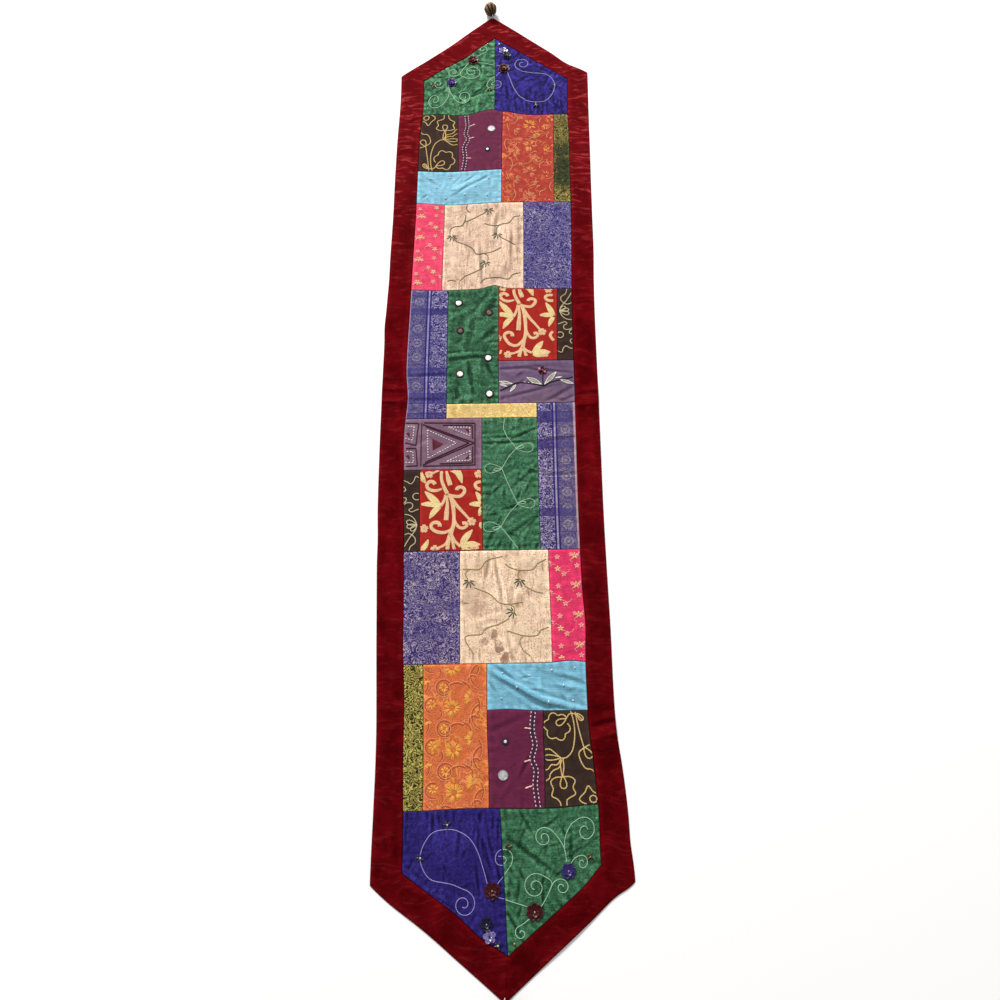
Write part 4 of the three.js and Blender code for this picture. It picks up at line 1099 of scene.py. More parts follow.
def smooth(*points):
    """A curve through a few points, closed where the last is the first again."""
    p = np.array(points, dtype=float)
    closed = np.allclose(p[0], p[-1])
    before, after = (p[-2], p[1]) if closed else (2 * p[0] - p[1], 2 * p[-1] - p[-2])
    p = np.vstack([before, p, after])
    t = np.linspace(0, 1, CURVE_POINTS)[:-1, None]
    parts = [b + 0.5 * t * (c - a + t * (2 * a - 5 * b + 4 * c - d + t * (3 * (b - c) + d - a)))
             for a, b, c, d in zip(p, p[1:], p[2:], p[3:])]
    return even(np.vstack(parts + [p[-2:-1]]))


def bearing(heading):
    """The unit step of a heading in degrees, anticlockwise from east."""
    return np.array([math.cos(math.radians(heading)), math.sin(math.radians(heading))])


def curl(path, centre, radius, turns):
    """A path that runs on into a spiral round centre, anticlockwise where turns is above 0."""
    path, centre = np.array(path, dtype=float), np.array(centre, dtype=float)
    away = path[-1] - centre
    far = max(np.linalg.norm(away), radius * 1.001)
    joins = math.atan2(away[1], away[0]) + math.copysign(math.acos(radius / far), turns)
    share = np.linspace(0, 1, max(6, int(abs(turns) * 12)))
    angle = joins + turns * 2 * math.pi * share
    reach = radius * (1 - 0.8 * share ** 0.9)
    spiral = centre + np.stack([np.cos(angle) * reach, np.sin(angle) * reach], axis=1)
    return smooth(*path, *spiral)


def teardrop(tip, heading, length, width):
    """A closed loop that leaves its tip along a heading and comes back."""
    tip, out = np.array(tip, dtype=float), bearing(heading)
    side = np.array([-out[1], out[0]])
    ring = [(0, 0), (0.35, 0.36), (0.72, 0.5), (0.97, 0.26), (0.97, -0.26), (0.72, -0.5), (0.35, -0.36),
            (0, 0)]
    return smooth(*[tip + out * length * a + side * width * b for a, b in ring])


def scallop(centre, radius, lobes, depth, turn=0.0, start=0.0, end=360.0):
    """A wavy ring of round lobes, or the part of one between two angles."""
    angle = np.radians(np.linspace(start, end, 73))
    wave = np.abs(np.sin(0.5 * lobes * (angle - math.radians(turn))))
    reach = radius * (1 - depth + depth * wave * 1.3)
    return even(np.array(centre) + np.stack([np.cos(angle) * reach, np.sin(angle) * reach], axis=1))


def offset(line, aside):
    """The line moved to its left, to one constant distance or one for each point."""
    run = np.gradient(line, axis=0)
    run /= np.maximum(np.linalg.norm(run, axis=1), 1e-9)[:, None]
    return line + np.stack([-run[:, 1], run[:, 0]], axis=1) * np.reshape(aside, (-1, 1))


# ---------------------------------------------------------------- stitches

# The shape of one stitch: how far along it each ring is, and how full it is there.
STITCH_RINGS = ((0.13, 0.72), (0.5, 1.0), (0.87, 0.72))
STITCH_SIDES = 5


def stitch_faces():
    """Faces of one stitch over its points: a tip, the rings, the other tip."""
    sides, last = STITCH_SIDES, STITCH_SIDES * len(STITCH_RINGS)
    faces = []
    for k in range(sides):
        n = (k + 1) % sides
        faces.append((0, 1 + n, 1 + k))
        faces.append((last + 1, last - sides + 1 + k, last - sides + 1 + n))
        for ring in range(0, last - sides, sides):
            faces.append((ring + 1 + k, ring + 1 + n, ring + sides + 1 + n, ring + sides + 1 + k))
    return faces


class Needlework:
    """Stitches on one piece of cloth, gathered by thread and made as one joined mesh for each."""

    def __init__(self, cloth, turned):
        self.cloth, self.turned, self.threads = cloth, -1.0 if turned else 1.0, {}

    def on_cloth(self, points):
        """Cutting layout places of points given in millimetres from the middle of the cloth."""
        return self.cloth.centre + self.turned * np.asarray(points, dtype=float)

    def stitches(self, thread, starts, ends, width, height=0.62, lift=0.0, margin=0.8):
        """Single stitches from starts to ends. Those in a seam are left out."""
        a, b = self.on_cloth(starts), self.on_cloth(ends)
        nearest = np.minimum(*(np.minimum.reduce(self.cloth.from_edges(p[:, 0], p[:, 1])[0]) for p in (a,
                                                                                                       b)))
        keep = nearest > margin
        widths = np.broadcast_to(width, (len(a),))
        rows = np.column_stack([a, b, widths, widths * height, np.full(len(a), lift)])[keep]
        self.threads.setdefault(thread, []).append(rows)

    def running(self, thread, line, length=3.0, gap=2.0, width=1.0, **more):
        """Stitches with gaps along a line."""
        steps = even(line, 0.5)
        at = np.arange(0, len(steps) - 2, max(1, int(round((length + gap) / 0.5))))
        to = np.minimum(at + int(round(length / 0.5)), len(steps) - 1)
        self.stitches(thread, steps[at], steps[to], width, **more)

    def laid(self, thread, line, width=1.1, length=2.6, **more):
        """A thread laid along a line, each stitch lapping the one before."""
        steps = even(line, length)
        start, end = steps[:-1], steps[1:]
        reach = (end - start) * 0.16
        self.stitches(thread, start - reach, end + reach, width, **more)

    def chain(self, thread, line, width=2.0, link=3.0, **more):
        """Chain stitch: every link two bowed strands that part and meet."""
        steps = even(line, link / 2)
        aside = np.zeros(len(steps))
        aside[1::2] = 0.3 * width
        for hand in (1, -1):
            strand = offset(steps, hand * aside)
            self.stitches(thread, strand[:-1], strand[1:] + 0.2 * (strand[1:] - strand[:-1]), 0.5 * width,
                          height=0.8, **more)

    def solid(self, thread, line, widths, row=1.3, length=3.4):
        """A shape filled with rows of stitches that follow its middle line and close up at its tips."""
        steps = even(line, length / 4)
        half = 0.5 * np.interp(np.linspace(0, 1, len(steps)), np.linspace(0, 1, len(widths)), widths)
        rows = max(1, int(round(max(widths) / row)))
        wide = 2 * half / rows
        for k, share in enumerate((np.arange(rows) + 0.5) * 2 / rows - 1):
            strand = offset(steps, share * half)
            at = np.arange(k % 2 * 2, len(steps) - 2, 3)
            to = np.minimum(at + 4, len(steps) - 1)
            self.stitches(thread, strand[at], strand[to], 1.12 * np.minimum(wide[at], wide[to]) + 0.15, 0.62)

    def sprays(self, thread, centre, headings, start, end, width, **more):
        """Straight stitches that stand round a centre, one for each heading."""
        out = np.array([bearing(h) for h in headings])
        self.stitches(thread, np.array(centre) + out * start, np.array(centre) + out * end, width, **more)

    def pieces(self):
        """Makes the stitches of each thread one joined mesh, and returns them."""
        made = []
        for thread, rows in sorted(self.threads.items()):
            rows = np.concatenate(rows)
            if len(rows):
                made.append(self.joined(thread, rows))
        return made

    def joined(self, thread, rows):
        cloth, count = self.cloth, len(rows)
        lift = rows[:, 6]
        a, b = cloth.place(rows[:, 0], rows[:, 1], lift), cloth.place(rows[:, 2], rows[:, 3], lift)
        middle = cloth.place(*((rows[:, 0:2] + rows[:, 2:4]) / 2).T, lift)
        run = b - a
        length = np.linalg.norm(run, axis=1)
        side = np.cross((0.0, 0.0, 1.0), run)
        side /= np.maximum(np.linalg.norm(side, axis=1), 1e-9)[:, None]
        half, height = rows[:, 4, None] * 0.5 * MM, rows[:, 5, None] * MM
        up = np.array((0.0, 0.0, 1.0))
        random = np.random.default_rng(count).random(count)
        vertices, strand = [a - up * height * 0.3], [np.stack([0 * length, 0 * length, random], axis=1)]
        for share, full in STITCH_RINGS:
            spine = (a * (1 - share) * (1 - 2 * share) + middle * 4 * share * (1 - share)
                     + b * share * (2 * share - 1))
            for k in range(STITCH_SIDES):
                angle = math.radians(90 + 360 * k / STITCH_SIDES)
                vertices.append(spine + side * half * full * math.cos(angle)
                                + up * height * (full * math.sin(angle) * 0.6 + 0.3 * full))
                strand.append(np.stack([length / MM * share, 0 * length + k / STITCH_SIDES, random], axis=1))
        vertices.append(b - up * height * 0.3)
        strand.append(np.stack([length / MM, 0 * length, random], axis=1))
        vertices, strand = np.stack(vertices, axis=1), np.stack(strand, axis=1)
        size = vertices.shape[1]
        faces = [tuple(size * n + k for k in face) for n in range(count) for face in stitch_faces()]
        return mesh_piece(f"{cloth.node}_{thread}_stitches", vertices.reshape(-1, 3), faces,
                          THREAD_MATERIALS[thread], {"strand": strand.reshape(-1, 3)})


# ---------------------------------------------------------------- needlework on each cloth
# Every pattern is in millimetres from the middle of its patch, as it lies on the near half.
# The far half has the same patterns, turned half round.

def brown_flowers(work):
    """Chain stitch in gold: two scalloped flowers on stems, with a spray of wavy petals."""
    lines = (
        scallop((-13, 47), 20, 6, 0.2, 20, 35, 375),
        teardrop((2, 58), 205, 17, 9),
        smooth((10, 72), (14, 54), (14, 34), (8, 13), (-2, 2), (-12, 0)),
        smooth((2, 58), (9, 66), (20, 64), (29, 56)),
        teardrop((20, 66), -48, 13, 7),
        smooth((17, 72), (21, 44), (26, 15)),
        teardrop((26, 16), -62, 18, 11),
        smooth((44, 21), (34, 19), (26, 15), (17, 8), (18, -4), (24, -15), (33, -17), (39, -24)),
        smooth((-12, 0), (-20, 8), (-28, 14), (-38, 13)),
        teardrop((-12, 1), 178, 26, 8),
        smooth((-12, -1), (-19, -9), (-28, -9), (-33, -15), (-42, -18)),
        smooth((-11, -2), (-16, -13), (-25, -17), (-31, -23), (-33, -29), (-43, -34)),
        smooth((-9, 0), (-9, -12), (-12, -27)),
        smooth((-14, -2), (-14, -14), (-13, -26)),
        teardrop((-12, -26), -90, 18, 10),
        smooth((-18, -72), (-19, -64), (-24, -58), (-31, -54), (-28, -44), (-31, -34), (-24, -28),
               (-13, -27), (-1, -27), (6, -33), (2, -43), (5, -53), (-4, -58), (-9, -62), (-9, -72)),
        smooth((42, -56), (32, -52), (25, -42), (19, -52), (10, -61), (14, -67), (20, -70)),
        scallop((31, -63), 5.5, 1, 0.1),
    )
    for line in lines:
        work.chain("gold", line, 2.5, 3.4)


def squiggles(work):
    """Chain stitch in cream: loose wiggles, a ring and a looped flower."""
    lines = (
        smooth((-14, 53), (-7, 51), (-1, 47), (4, 52), (7, 60), (14, 57)),
        smooth((-15, 43), (-10, 40), (-9, 35), (-14, 32)),
        scallop((9, 24), 6, 1, 0.1),
        smooth((-15, 23), (-8, 21), (-9, 15), (-15, 12)),
        smooth((-15, 8), (-7, 13), (1, 12), (2, 5), (-4, 1), (0, -3), (8, 0), (15, 2)),
        smooth((-14, -7), (-3, -9), (5, -16), (9, -26)),
        teardrop((9, -26), 160, 18, 8),
        teardrop((9, -26), 192, 17, 7),
        teardrop((9, -26), 225, 14, 7),
        smooth((9, -26), (6, -36), (-3, -48), (-9, -58), (-13, -66)),
        smooth((-14, -44), (-4, -41), (5, -48), (6, -57), (-2, -64), (-5, -74)),
    )
    for line in lines:
        work.chain("cream", line, 1.9, 2.8)


# Crewel strokes: widths along the stroke, and the places it passes.
CREWEL_STEMS = (
    ((5.5, 5.5, 6, 7), ((-16, 74), (-16, 54), (-11, 39), (-6, 28))),
    ((2.5, 5.5, 6, 6, 6.5, 7), ((-14, 38), (-25, 34), (-36, 36), (-41, 43), (-37, 50), (-30, 50),
                                (-27, 45))),
    ((3, 5, 9, 8), ((-9, 74), (-5, 57), (-1, 43))),
    ((3, 5.5, 6, 6, 6, 7), ((-6, 28), (4, 24), (15, 23), (22, 29), (23, 36), (17, 40), (11, 38), (10, 34))),
    ((4, 5, 5.5), ((-9, 27), (-11, 17), (-17, 6))),
    ((3, 4.5, 6.5, 8.5, 8), ((-7, 26), (-6, 10), (-7, -4), (-8, -19))),
    ((6.5, 6.5, 5, 4), ((-4, 27), (9, 8), (22, -7), (33, -20))),
    ((5, 7, 6, 6.5, 8), ((-1, 23), (4, 4), (5, -23), (2, -35), (-1, -44))),
    ((3, 5.5, 6, 6, 6, 6.5, 7), ((1, -34), (-10, -40), (-23, -39), (-32, -33), (-33, -26), (-26, -22),
                                 (-19, -25),
                                 (-19, -30))),
    ((3, 5, 5.5, 5.5, 6), ((5, -8), (7, -22), (14, -32), (21, -33), (27, -29), (25, -24), (19, -25))),
    ((5, 5, 5), ((0, -42), (6, -55), (16, -65))),
    ((5, 4.5, 4), ((-2, -43), (-9, -60), (-24, -68))),
    ((5, 6.5, 7), ((-1, -46), (-5, -60), (-7, -76))),
    ((4, 5, 6), ((1, -48), (6, -74))),
    ((4, 4, 4), ((-35, 65), (-28, 67), (-15, 74))),
    ((5, 6, 6, 6), ((56, 49), (45, 48), (41, 43), (46, 36), (56, 35))),
    ((5, 5.5, 5), ((55, -21), (49, -28), (55, -36))),
)
CREWEL_LEAVES = (
    ((5, 12, 11, 2), ((-17, 6), (-30, 19), (-44, 33))), ((5, 10, 9, 2), ((-17, 6), (-35, 10), (-52, 10))),
    ((5, 10, 10, 2), ((-17, 6), (-27, -2), (-36, -15))), ((4, 11, 11, 2), ((16, -67), (23, -52), (36, -36))),
    ((4, 10, 10, 2), ((17, -67), (32, -61), (49, -62))), ((4, 9, 8, 2), ((17, -69), (27, -72), (38, -73))),
    ((5, 9, 9, 2), ((-51, 68), (-49, 58), (-43, 48))), ((9, 12, 10, 2), ((0, 73), (12, 66), (19, 47))),
    ((6, 11, 9, 2), ((56, 7), (49, 20), (42, 31))), ((6, 10, 9, 3), ((55, 8), (43, 9), (31, 9))),
    ((6, 9, 8, 2), ((56, 6), (51, -2), (47, -12))), ((7, 9, 8, 2), ((-52, -72), (-43, -63), (-38, -52))),
)
CREWEL_STARS = ((-37, 64), (47, 63), (-45, -33), (35, -22), (-27, -69), (39, -68))
# The far cloth was cut from a part of the same crewel where its branches stand further apart.
FAR_CREWEL_WEST, CREWEL_ALONG = -9.0, (-78, -66, -42, -33, -17, 6, 28, 50, 76)
FAR_CREWEL_ALONG = (-70, -61, -49, -30, -12, 14, 42, 62, 84)


def crewel(work):
    """Solid crewel in peach, with yellow leaves: branching stems, scrolls, lilies and small stars."""
    far, work.turned = work.turned < 0, 1.0

    def placed(points):
        points = np.array(points, dtype=float)
        if far:
            points[:, 1] = np.interp(points[:, 1], CREWEL_ALONG, FAR_CREWEL_ALONG)
            points[:, 0] += FAR_CREWEL_WEST
        return points

    for widths, points in CREWEL_STEMS:
        work.solid("peach", smooth(*placed(points)), 0.96 * np.array(widths))
    for widths, points in CREWEL_LEAVES:
        work.solid("butter", smooth(*placed(points)), 0.98 * np.array(widths))
    for centre in placed(CREWEL_STARS):
        for k in range(5):
            work.solid("peach", smooth(centre, centre + bearing(90 + 72 * k) * 7.5), (4, 6.5, 5))


NEAR_VINES = (
    ((-68, 61), (-58, 61), (-40, 61), (-28, 75), (-2, 82)), ((-58, 61), (-64, 53), (-60, 44)),
    ((-50, 30), (-25, 19), (-10, 5), (7, 2), (28, 5)), ((7, 2), (15, -4), (13, -14)),
    ((6, -21), (-11, -30), (-33, -37), (-40, -46), (-56, -47), (-65, -49), (-66, -56), (-53, -78)),
    ((2, 69), (10, 63), (25, 58), (47, 59), (56, 69), (70, 76)), ((25, 58), (22, 49), (26, 42)),
    ((33, 32), (48, 23), (63, 19)), ((2, -41), (28, -49), (50, -49), (56, -41), (70, -36)),
    ((28, -49), (22, -58), (27, -72), (38, -81)), ((-68, 5), (-60, 5)),
)
FAR_VINES = (
    ((1, 73), (-13, 65), (-26, 57), (-37, 52), (-41, 44), (-49, 42), (-58, 40), (-64, 33), (-64, 23)),
    ((-41, 44), (-36, 59), (-35, 70)), ((-33, 95), (-34, 85), (-28, 76)),
    ((69, 65), (57, 63), (52, 55), (46, 48), (35, 46), (26, 43), (12, 44), (1, 48)),
    ((29, 43), (24, 36), (23, 28)),
    ((-56, 14), (-50, 6), (-37, 1), (-24, -6), (-17, -14), (-13, -21), (0, -20), (14, -18), (25, -13),
     (33, -8)),
    ((3, -20), (9, -27), (9, -36)), ((2, -49), (-7, -56), (-20, -63), (-33, -69), (-41, -78)),
    ((29, 17), (40, 10), (51, 4), (60, -2)),
    ((70, -63), (56, -67), (48, -77), (33, -76), (20, -78), (4, -77), (-4, -85)),
    ((-65, -78), (-58, -76), (-50, -78)),
)
NEAR_SPRIGS = ((-58, 42, -95), (26, 42, -100), (14, -10, -150))
FAR_SPRIGS = ((8, 82, -80), (-60, 20, -90), (27, 24, -110), (6, -38, -110))


def cream_vines(work):
    """A meandering olive line with clusters of dark green leaves."""
    far, work.turned = work.turned < 0, 1.0
    for line in FAR_VINES if far else NEAR_VINES:
        work.laid("moss" if far else "olive", smooth(*line), 1.9, 2.2)
    for across, along, heading in FAR_SPRIGS if far else NEAR_SPRIGS:
        for k, reach in enumerate((9, 13, 15, 14, 13, 9)):
            work.sprays("leaf_green", (across, along), [heading - 85 + 34 * k], 1.5, reach, 1.9)


def green_vine(work):
    """A fine mint zigzag with a pair of loops at every bend."""
    path = ((-8, 116), (-11, 98), (-5, 84), (11, 61), (-14, 24), (12, -40), (-17, -80), (11, -118))
    for a, b in zip(path, path[1:]):
        bow = np.array([(b[1] - a[1]) * 0.03, 2.0])
        work.laid("mint", smooth(a, (np.array(a) + b) / 2 + bow, b), 1.5, 2.6)
    for tip, heading in (((11, 61), 4), ((-14, 24), 178), ((12, -40), 2), ((-17, -80), 179)):
        work.laid("mint", teardrop(tip, heading, 29, 17), 1.4, 2.4)
        work.laid("mint", teardrop(tip, heading + 12, 14, 4), 1.6, 2.0)


def plum_line(work):
    """A navy cord that wavers between two rows of white running stitch, with three pink dashes."""
    wave = smooth((33, 75), (29, 50), (29, 36), (31, 20), (24, 0), (29, -16), (26, -36), (27, -54),
                  (29, -74))
    work.laid("navy", wave, 2.2, 3.0)
    for aside in (-3.2, 3.2):
        work.running("white", offset(wave, aside), 3.6, 2.6, 1.7)
    for tip, root in (((17, 45), (27, 44)), ((12, -4), (22, -1)), ((11, -42), (21, -39))):
        work.laid("pink", smooth(tip, root), 2.7, 5.0)
    work.running("navy", smooth((-2, -6), (-10, -12)), 4.0, 2.0, 1.2)


def triangles(work):
    """Dark outlines of a frame, one big triangle and its corners, with white running stitches."""
    outlines = (
        ((-34, 40), (54, 38), (54, -40), (-34, -41)),
        ((-36, 37), (53, 1), (-35, -39)), ((-31, 33), (44, 1), (-31, -34)),
        ((-2, 35), (49, 34), (50, 9)), ((-6, -37), (50, -36), (50, -6)),
        ((-68, 40), (-43, 39), (-46, -2), (-68, 4)), ((-68, -8), (-46, -8), (-44, -40), (-68, -41)),
    )
    for corners in outlines:
        for a, b in zip(corners, corners[1:]):
            work.laid("dark_plum", smooth(a, b), 2.5, 3.0)
    work.laid("dark_plum", smooth((-38, 40), (-38, -41)), 2.2, 3.0)
    runs = (((-28, 26), (22, 1), (-26, -27), (-28, 26)), ((8, 31), (45, 30), (46, 14), (8, 31)),
            ((6, -33), (46, -32), (46, -14), (6, -33)), ((-66, 33), (-50, 33), (-51, 7), (-66, 12)),
            ((-66, -14), (-51, -14), (-50, -34), (-66, -34)))
    for corners in runs:
        for a, b in zip(corners, corners[1:]):
            work.running("white", smooth(a, b), 3.4, 1.8, 2.0)
    for a, b, c in (((-21, 10), (0, -1), (-20, -13)), ((37, 27), (44, 26), (43, 19)),
                    ((37, -28), (44, -28), (43, -21)), ((-63, 20), (-57, 22), (-57, 13)),
                    ((-63, -22), (-57, -20), (-57, -29))):
        share = np.linspace(0, 1, max(4, int(np.linalg.norm(np.subtract(a, c)) / 1.2)))[:, None]
        edge = np.array(a) * (1 - share) + np.array(c) * share
        work.stitches("maroon", edge, np.repeat([b], len(edge), axis=0) * 0.96 + edge * 0.04, 1.3)


def twig(work):
    """A near black twig in a shallow V, with pairs of white leaves."""
    for line in (smooth((-67, -19), (-52, -12), (-38, -4), (-26, -3), (-8, -6), (12, -10)),
                 smooth((12, -10), (24, -4), (36, 0), (50, 3), (67, 8)),
                 smooth((12, -10), (11, 2), (12, 14))):
        work.laid("near_black", line, 2.6, 3.0)
    for tip, heading, long, wide in (((-42, -5), 168, 24, 5), ((-52, -10), 158, 15, 3),
                                     ((-36, -7), 232, 17, 4),
                                     ((9, -8), 150, 30, 8), ((14, -8), 50, 33, 7), ((42, 1), 342, 24, 5),
                                     ((33, 5), 10, 12, 2)):
        tip, end = np.array(tip), tip + bearing(heading) * long
        middle, aside = (tip + end) / 2, bearing(heading + 90) * wide / 2
        work.solid("leaf_grey", smooth(tip, middle, end), (0.4, 0.6 * wide, 0.4))
        for hand in (1, -1):
            work.laid("white", smooth(tip, middle + hand * aside, end), 1.9, 2.6, lift=0.3)
    work.running("white", smooth((-22, -2), (-4, -5)), 3.4, 3.0, 1.8)


def orange_figures(work):
    """Woven figures: golden daisies, rosettes ringed in coral and coral arcs, in rows."""
    far = work.turned < 0
    random = np.random.default_rng(3)
    for row in (102, 40, -22, -84):
        for centre, size, petals in (((-4, row), 15, 11), ((-17, row - 31), 8, 8), ((-36, row + 6), 8, 7),
                                     ((-42, row - 25), 7, 6), ((27, row + 16), 14, 6)):
            thread = "ember" if far and random.random() < 0.7 else "daisy"
            for k in range(petals):
                if not far or random.random() < 0.6:
                    heading = 7 * size + k * (150 if petals == 6 else 360) / petals + random.uniform(-9, 9)
                    reach = size * random.uniform(0.75, 1.1)
                    work.sprays(thread, centre, [heading - 6, heading + 6], 0.25 * size, reach,
                                1.5 if far else 1.9, height=0.3)
        work.sprays("coral", (14, row - 18), range(0, 360, 60), 0.5, 5, 1.6, height=0.3)
        for centre, size, start, end in (((-17, row - 31), 13.5, 40, 300), ((-17, row - 31), 10, 200, 420),
                                         ((-36, row + 4), 13, 70, 290), ((12, row - 36), 15, -60, 80),
                                         ((4, row - 42), 20, 60, 190), ((46, row - 14), 21, 110, 250),
                                         ((-56, row - 26), 16, -50, 50), ((18, row + 2), 24, -35, 35),
                                         ((30, row - 20), 9, 30, 200), ((-30, row - 8), 11, -80, 40)):
            if far:
                centre, start = np.array(centre) + random.uniform(-6, 6, 2), start + random.uniform(0, 60)
                end = min(end, start + random.uniform(60, 110))
            arc = scallop(centre, size, 1, 0.0, 0, start, end)
            work.laid("ember" if far else "coral", arc, 1.8, 3.2, height=0.4)
            # A dark line laid beside each arc: a painted shadow.
            work.laid("rust", offset(arc, 1.9), 1.2, 3.2, height=0.2)


def pink_sprigs(work):
    """Woven sprigs in staggered rows: small clouds of salmon and yellow petals on curved stems."""
    for row in (81, 32, -17, -66):
        for centre, size, thread in (((17, 0), 6.5, "straw"), ((24, 2), 5, "salmon"), ((11, 2), 4, "salmon"),
                                     ((-12, -2), 5, "salmon"), ((-12, -22), 5.5, "straw"),
                                     ((-2, -31), 5, "salmon"),
                                     ((20, -17), 5, "salmon"), ((-25, -12), 4, "salmon")):
            middle = (centre[0], centre[1] + row)
            work.sprays(thread, middle, range(18, 378, 72), 0.0, size, 3.4, height=0.2)
        for line in (smooth((-9, row - 24), (-1, row - 28), (6, row - 27), (8, row - 22)),
                     smooth((13, row - 4), (9, row - 8), (13, row - 11)),
                     smooth((-24, row - 18), (-20, row - 14), (-15, row - 16))):
            work.running("salmon", line, 2.4, 0.6, 2.2, height=0.3)


def violet_curls(work):
    """A couched lavender line that loops round to a spiral, and a ring of it over the middle seam."""
    far = work.turned < 0
    width = 1.9 if far else 1.4
    path = ((50, -34), (44, -12), (36, 12), (25, 29), (11, 38), (-5, 42), (-28, 39), (-41, 25), (-47, 8),
            (-44, -8), (-31, -24))
    end = ((-3, -30), (12, -32)) if far else ((-3, -31), (12, -37))
    work.laid("lavender", curl(path + end, (18, -54) if far else (15, -58), 18, -1.5), width, 2.4)
    for line in (smooth((60, -47), (66, -50), (76, -52)), smooth((64, -32), (67, -28), (70, -25), (75, -19)),
                 smooth((76, 14), (71, 14), (67, 12), (64, 9), (62, 4), (62, -1), (64, -5), (68, -7),
                        (75, -7)),
                 smooth((75, 5), (70, 5), (66, 5))):
        work.laid("lavender", line, width, 1.4, margin=0.2)


def green_curls(work):
    """Couched mint curls that branch from the sewn flowers."""
    far = work.turned < 0
    width, more = (2.0, 1.2) if far else (1.5, 1.08)
    lines = (
        curl(((-26, -68), (-17, -57), (-9, -44), (-4, -30)), (-28, -36), 17 * more, 1.55),
        curl(((-9, -44), (-3, -33)), (10, -37), 11 * more, -1.35),
        curl(((19, -4), (17, 14), (8, 30)), (-12, 29), 14 * more, 1.45),
        curl(((17, 10), (19, 28), (28, 44)), (50, 36), 17 * more, -1.3),
        curl(((25, -6), (30, 0)), (42, -6), 10 * more, -1.3),
        curl(((-38, -78), (-50, -86)), (-50, -96), 9 * more, 1.2),
    )
    for line in lines:
        work.laid("mint", line, width, 2.4)
    for line in (smooth((-80, -50), (-60, -56), (-40, -62)),
                 smooth((-75, -23), (-70, -18), (-66, -13), (-61, -6), (-59, 0), (-59, 5), (-61, 10),
                        (-65, 13),
                        (-70, 14), (-75, 14)),
                 smooth((-76, -7), (-71, -5), (-68, 0), (-70, 4), (-74, 5))):
        work.laid("mint", line, width, 1.4, margin=0.2)


NEEDLEWORK = {
    "near_brown_flowers": brown_flowers, "near_squiggle": squiggles, "near_crewel": crewel,
    "near_cream": cream_vines, "near_green_vine": green_vine, "near_plum": plum_line,
    "mauve_triangles": triangles, "mauve_twig": twig, "near_orange": orange_figures,
    "near_pink": pink_sprigs, "near_violet_point": violet_curls, "near_green_point": green_curls,
}

# ---------------------------------------------------------------- things sewn on

def shine_group():
    """Small uneven tone and polish, as on sequins and glass, and on the mirrors, where the uneven tone is
    part of their painted reflection.
    """
    net, given, out = node_group("uneven shine", {"Pitch": ("Float", 3.0)},
                                 {"Shade": "Float", "Polish": "Float"})
    place = net.vector("SCALE", net.node("TexCoord").outputs["Object"], scale=1 / MM)
    place = net.vector("SCALE", place, scale=net.math("DIVIDE", 1.0, given["Pitch"]))
    net.feed(out["Shade"], net.between(net.noise(place, 1.0, 3.0, 0.6), 0.3, 0.7, 0.65, 1.25))
    net.feed(out["Polish"], net.noise(place, 0.4, 2.0))
    return net.tree


SHINE = shine_group()


def shiny(name, colour, metal, rough, coat=0.0, pitch=3.0):
    made, net, shader, _ = new_material(name)
    uneven = net.use(SHINE, pitch=pitch)
    tone = net.node("RGB").outputs[0]
    tone.default_value = (*colour, 1.0)
    net.feed(shader.inputs["Base Color"], net.shade(tone, uneven["Shade"]))
    net.feed(shader.inputs["Roughness"], net.between(uneven["Polish"], 0.2, 0.8, rough, rough + 0.18))
    shader.inputs["Metallic"].default_value = metal
    shader.inputs["Coat Weight"].default_value = coat
    shader.inputs["Coat Roughness"].default_value = 0.08
    shader.inputs["Specular IOR Level"].default_value = 0.3
    return made


SHINY = {
    "maroon_sequin": shiny("maroon_sequin", (0.06, 0.002, 0.007), 0.0, 0.24, 0.0),
    "purple_sequin": shiny("purple_sequin", (0.035, 0.022, 0.15), 0.1, 0.2, 0.1),
    "dark_sequin": shiny("dark_sequin", (0.01, 0.006, 0.03), 0.0, 0.24, 0.0),
    "clear_sequin": shiny("clear_sequin", (0.3, 0.25, 0.55), 0.5, 0.14, 0.8),
    "gold_bead": shiny("gold_bead", (0.4, 0.24, 0.05), 0.7, 0.25),
    "olive_bead": shiny("olive_bead", (0.1, 0.09, 0.035), 0.6, 0.22),
    "bronze_bead": shiny("bronze_bead", (0.12, 0.055, 0.02), 0.5, 0.2, 0.4),
    "pink_bead": shiny("pink_bead", (0.6, 0.2, 0.3), 0.2, 0.25, 0.5),
    "crystal": shiny("crystal", (0.6, 0.72, 0.8), 0.15, 0.1, 1.0),
    # The mirrors' colours are painted reflections: near white for the bright room a mirror gives back, grey
    # on the plain mirror and dark brown on the dull ones.
    "bright_mirror": shiny("bright_mirror", (0.95, 0.94, 0.9), 0.15, 0.12, 0.6, pitch=9.0),
    "grey_mirror": shiny("grey_mirror", (0.5, 0.48, 0.48), 0.1, 0.4, 0.1, pitch=4.0),
    "dull_mirror": shiny("dull_mirror", (0.1, 0.06, 0.055), 0.6, 0.35, pitch=5.0),
}


def deselect():
    bpy.ops.object.select_all(action="DESELECT")


def finish_model(material, scale=(1, 1, 1), turn=(0, 0, 0), place=(0, 0, 0)):
    """Sets the new piece at its size and place in its own mesh, given in millimetres."""
    piece = bpy.context.object
    piece.scale, piece.rotation_euler = [s * MM for s in scale], [math.radians(t) for t in turn]
    piece.location = [p * MM for p in place]
    bpy.ops.object.transform_apply(location=True, rotation=True, scale=True)
    bpy.ops.object.shade_smooth()
    piece.data.materials.append(SHINY[material])
    return piece


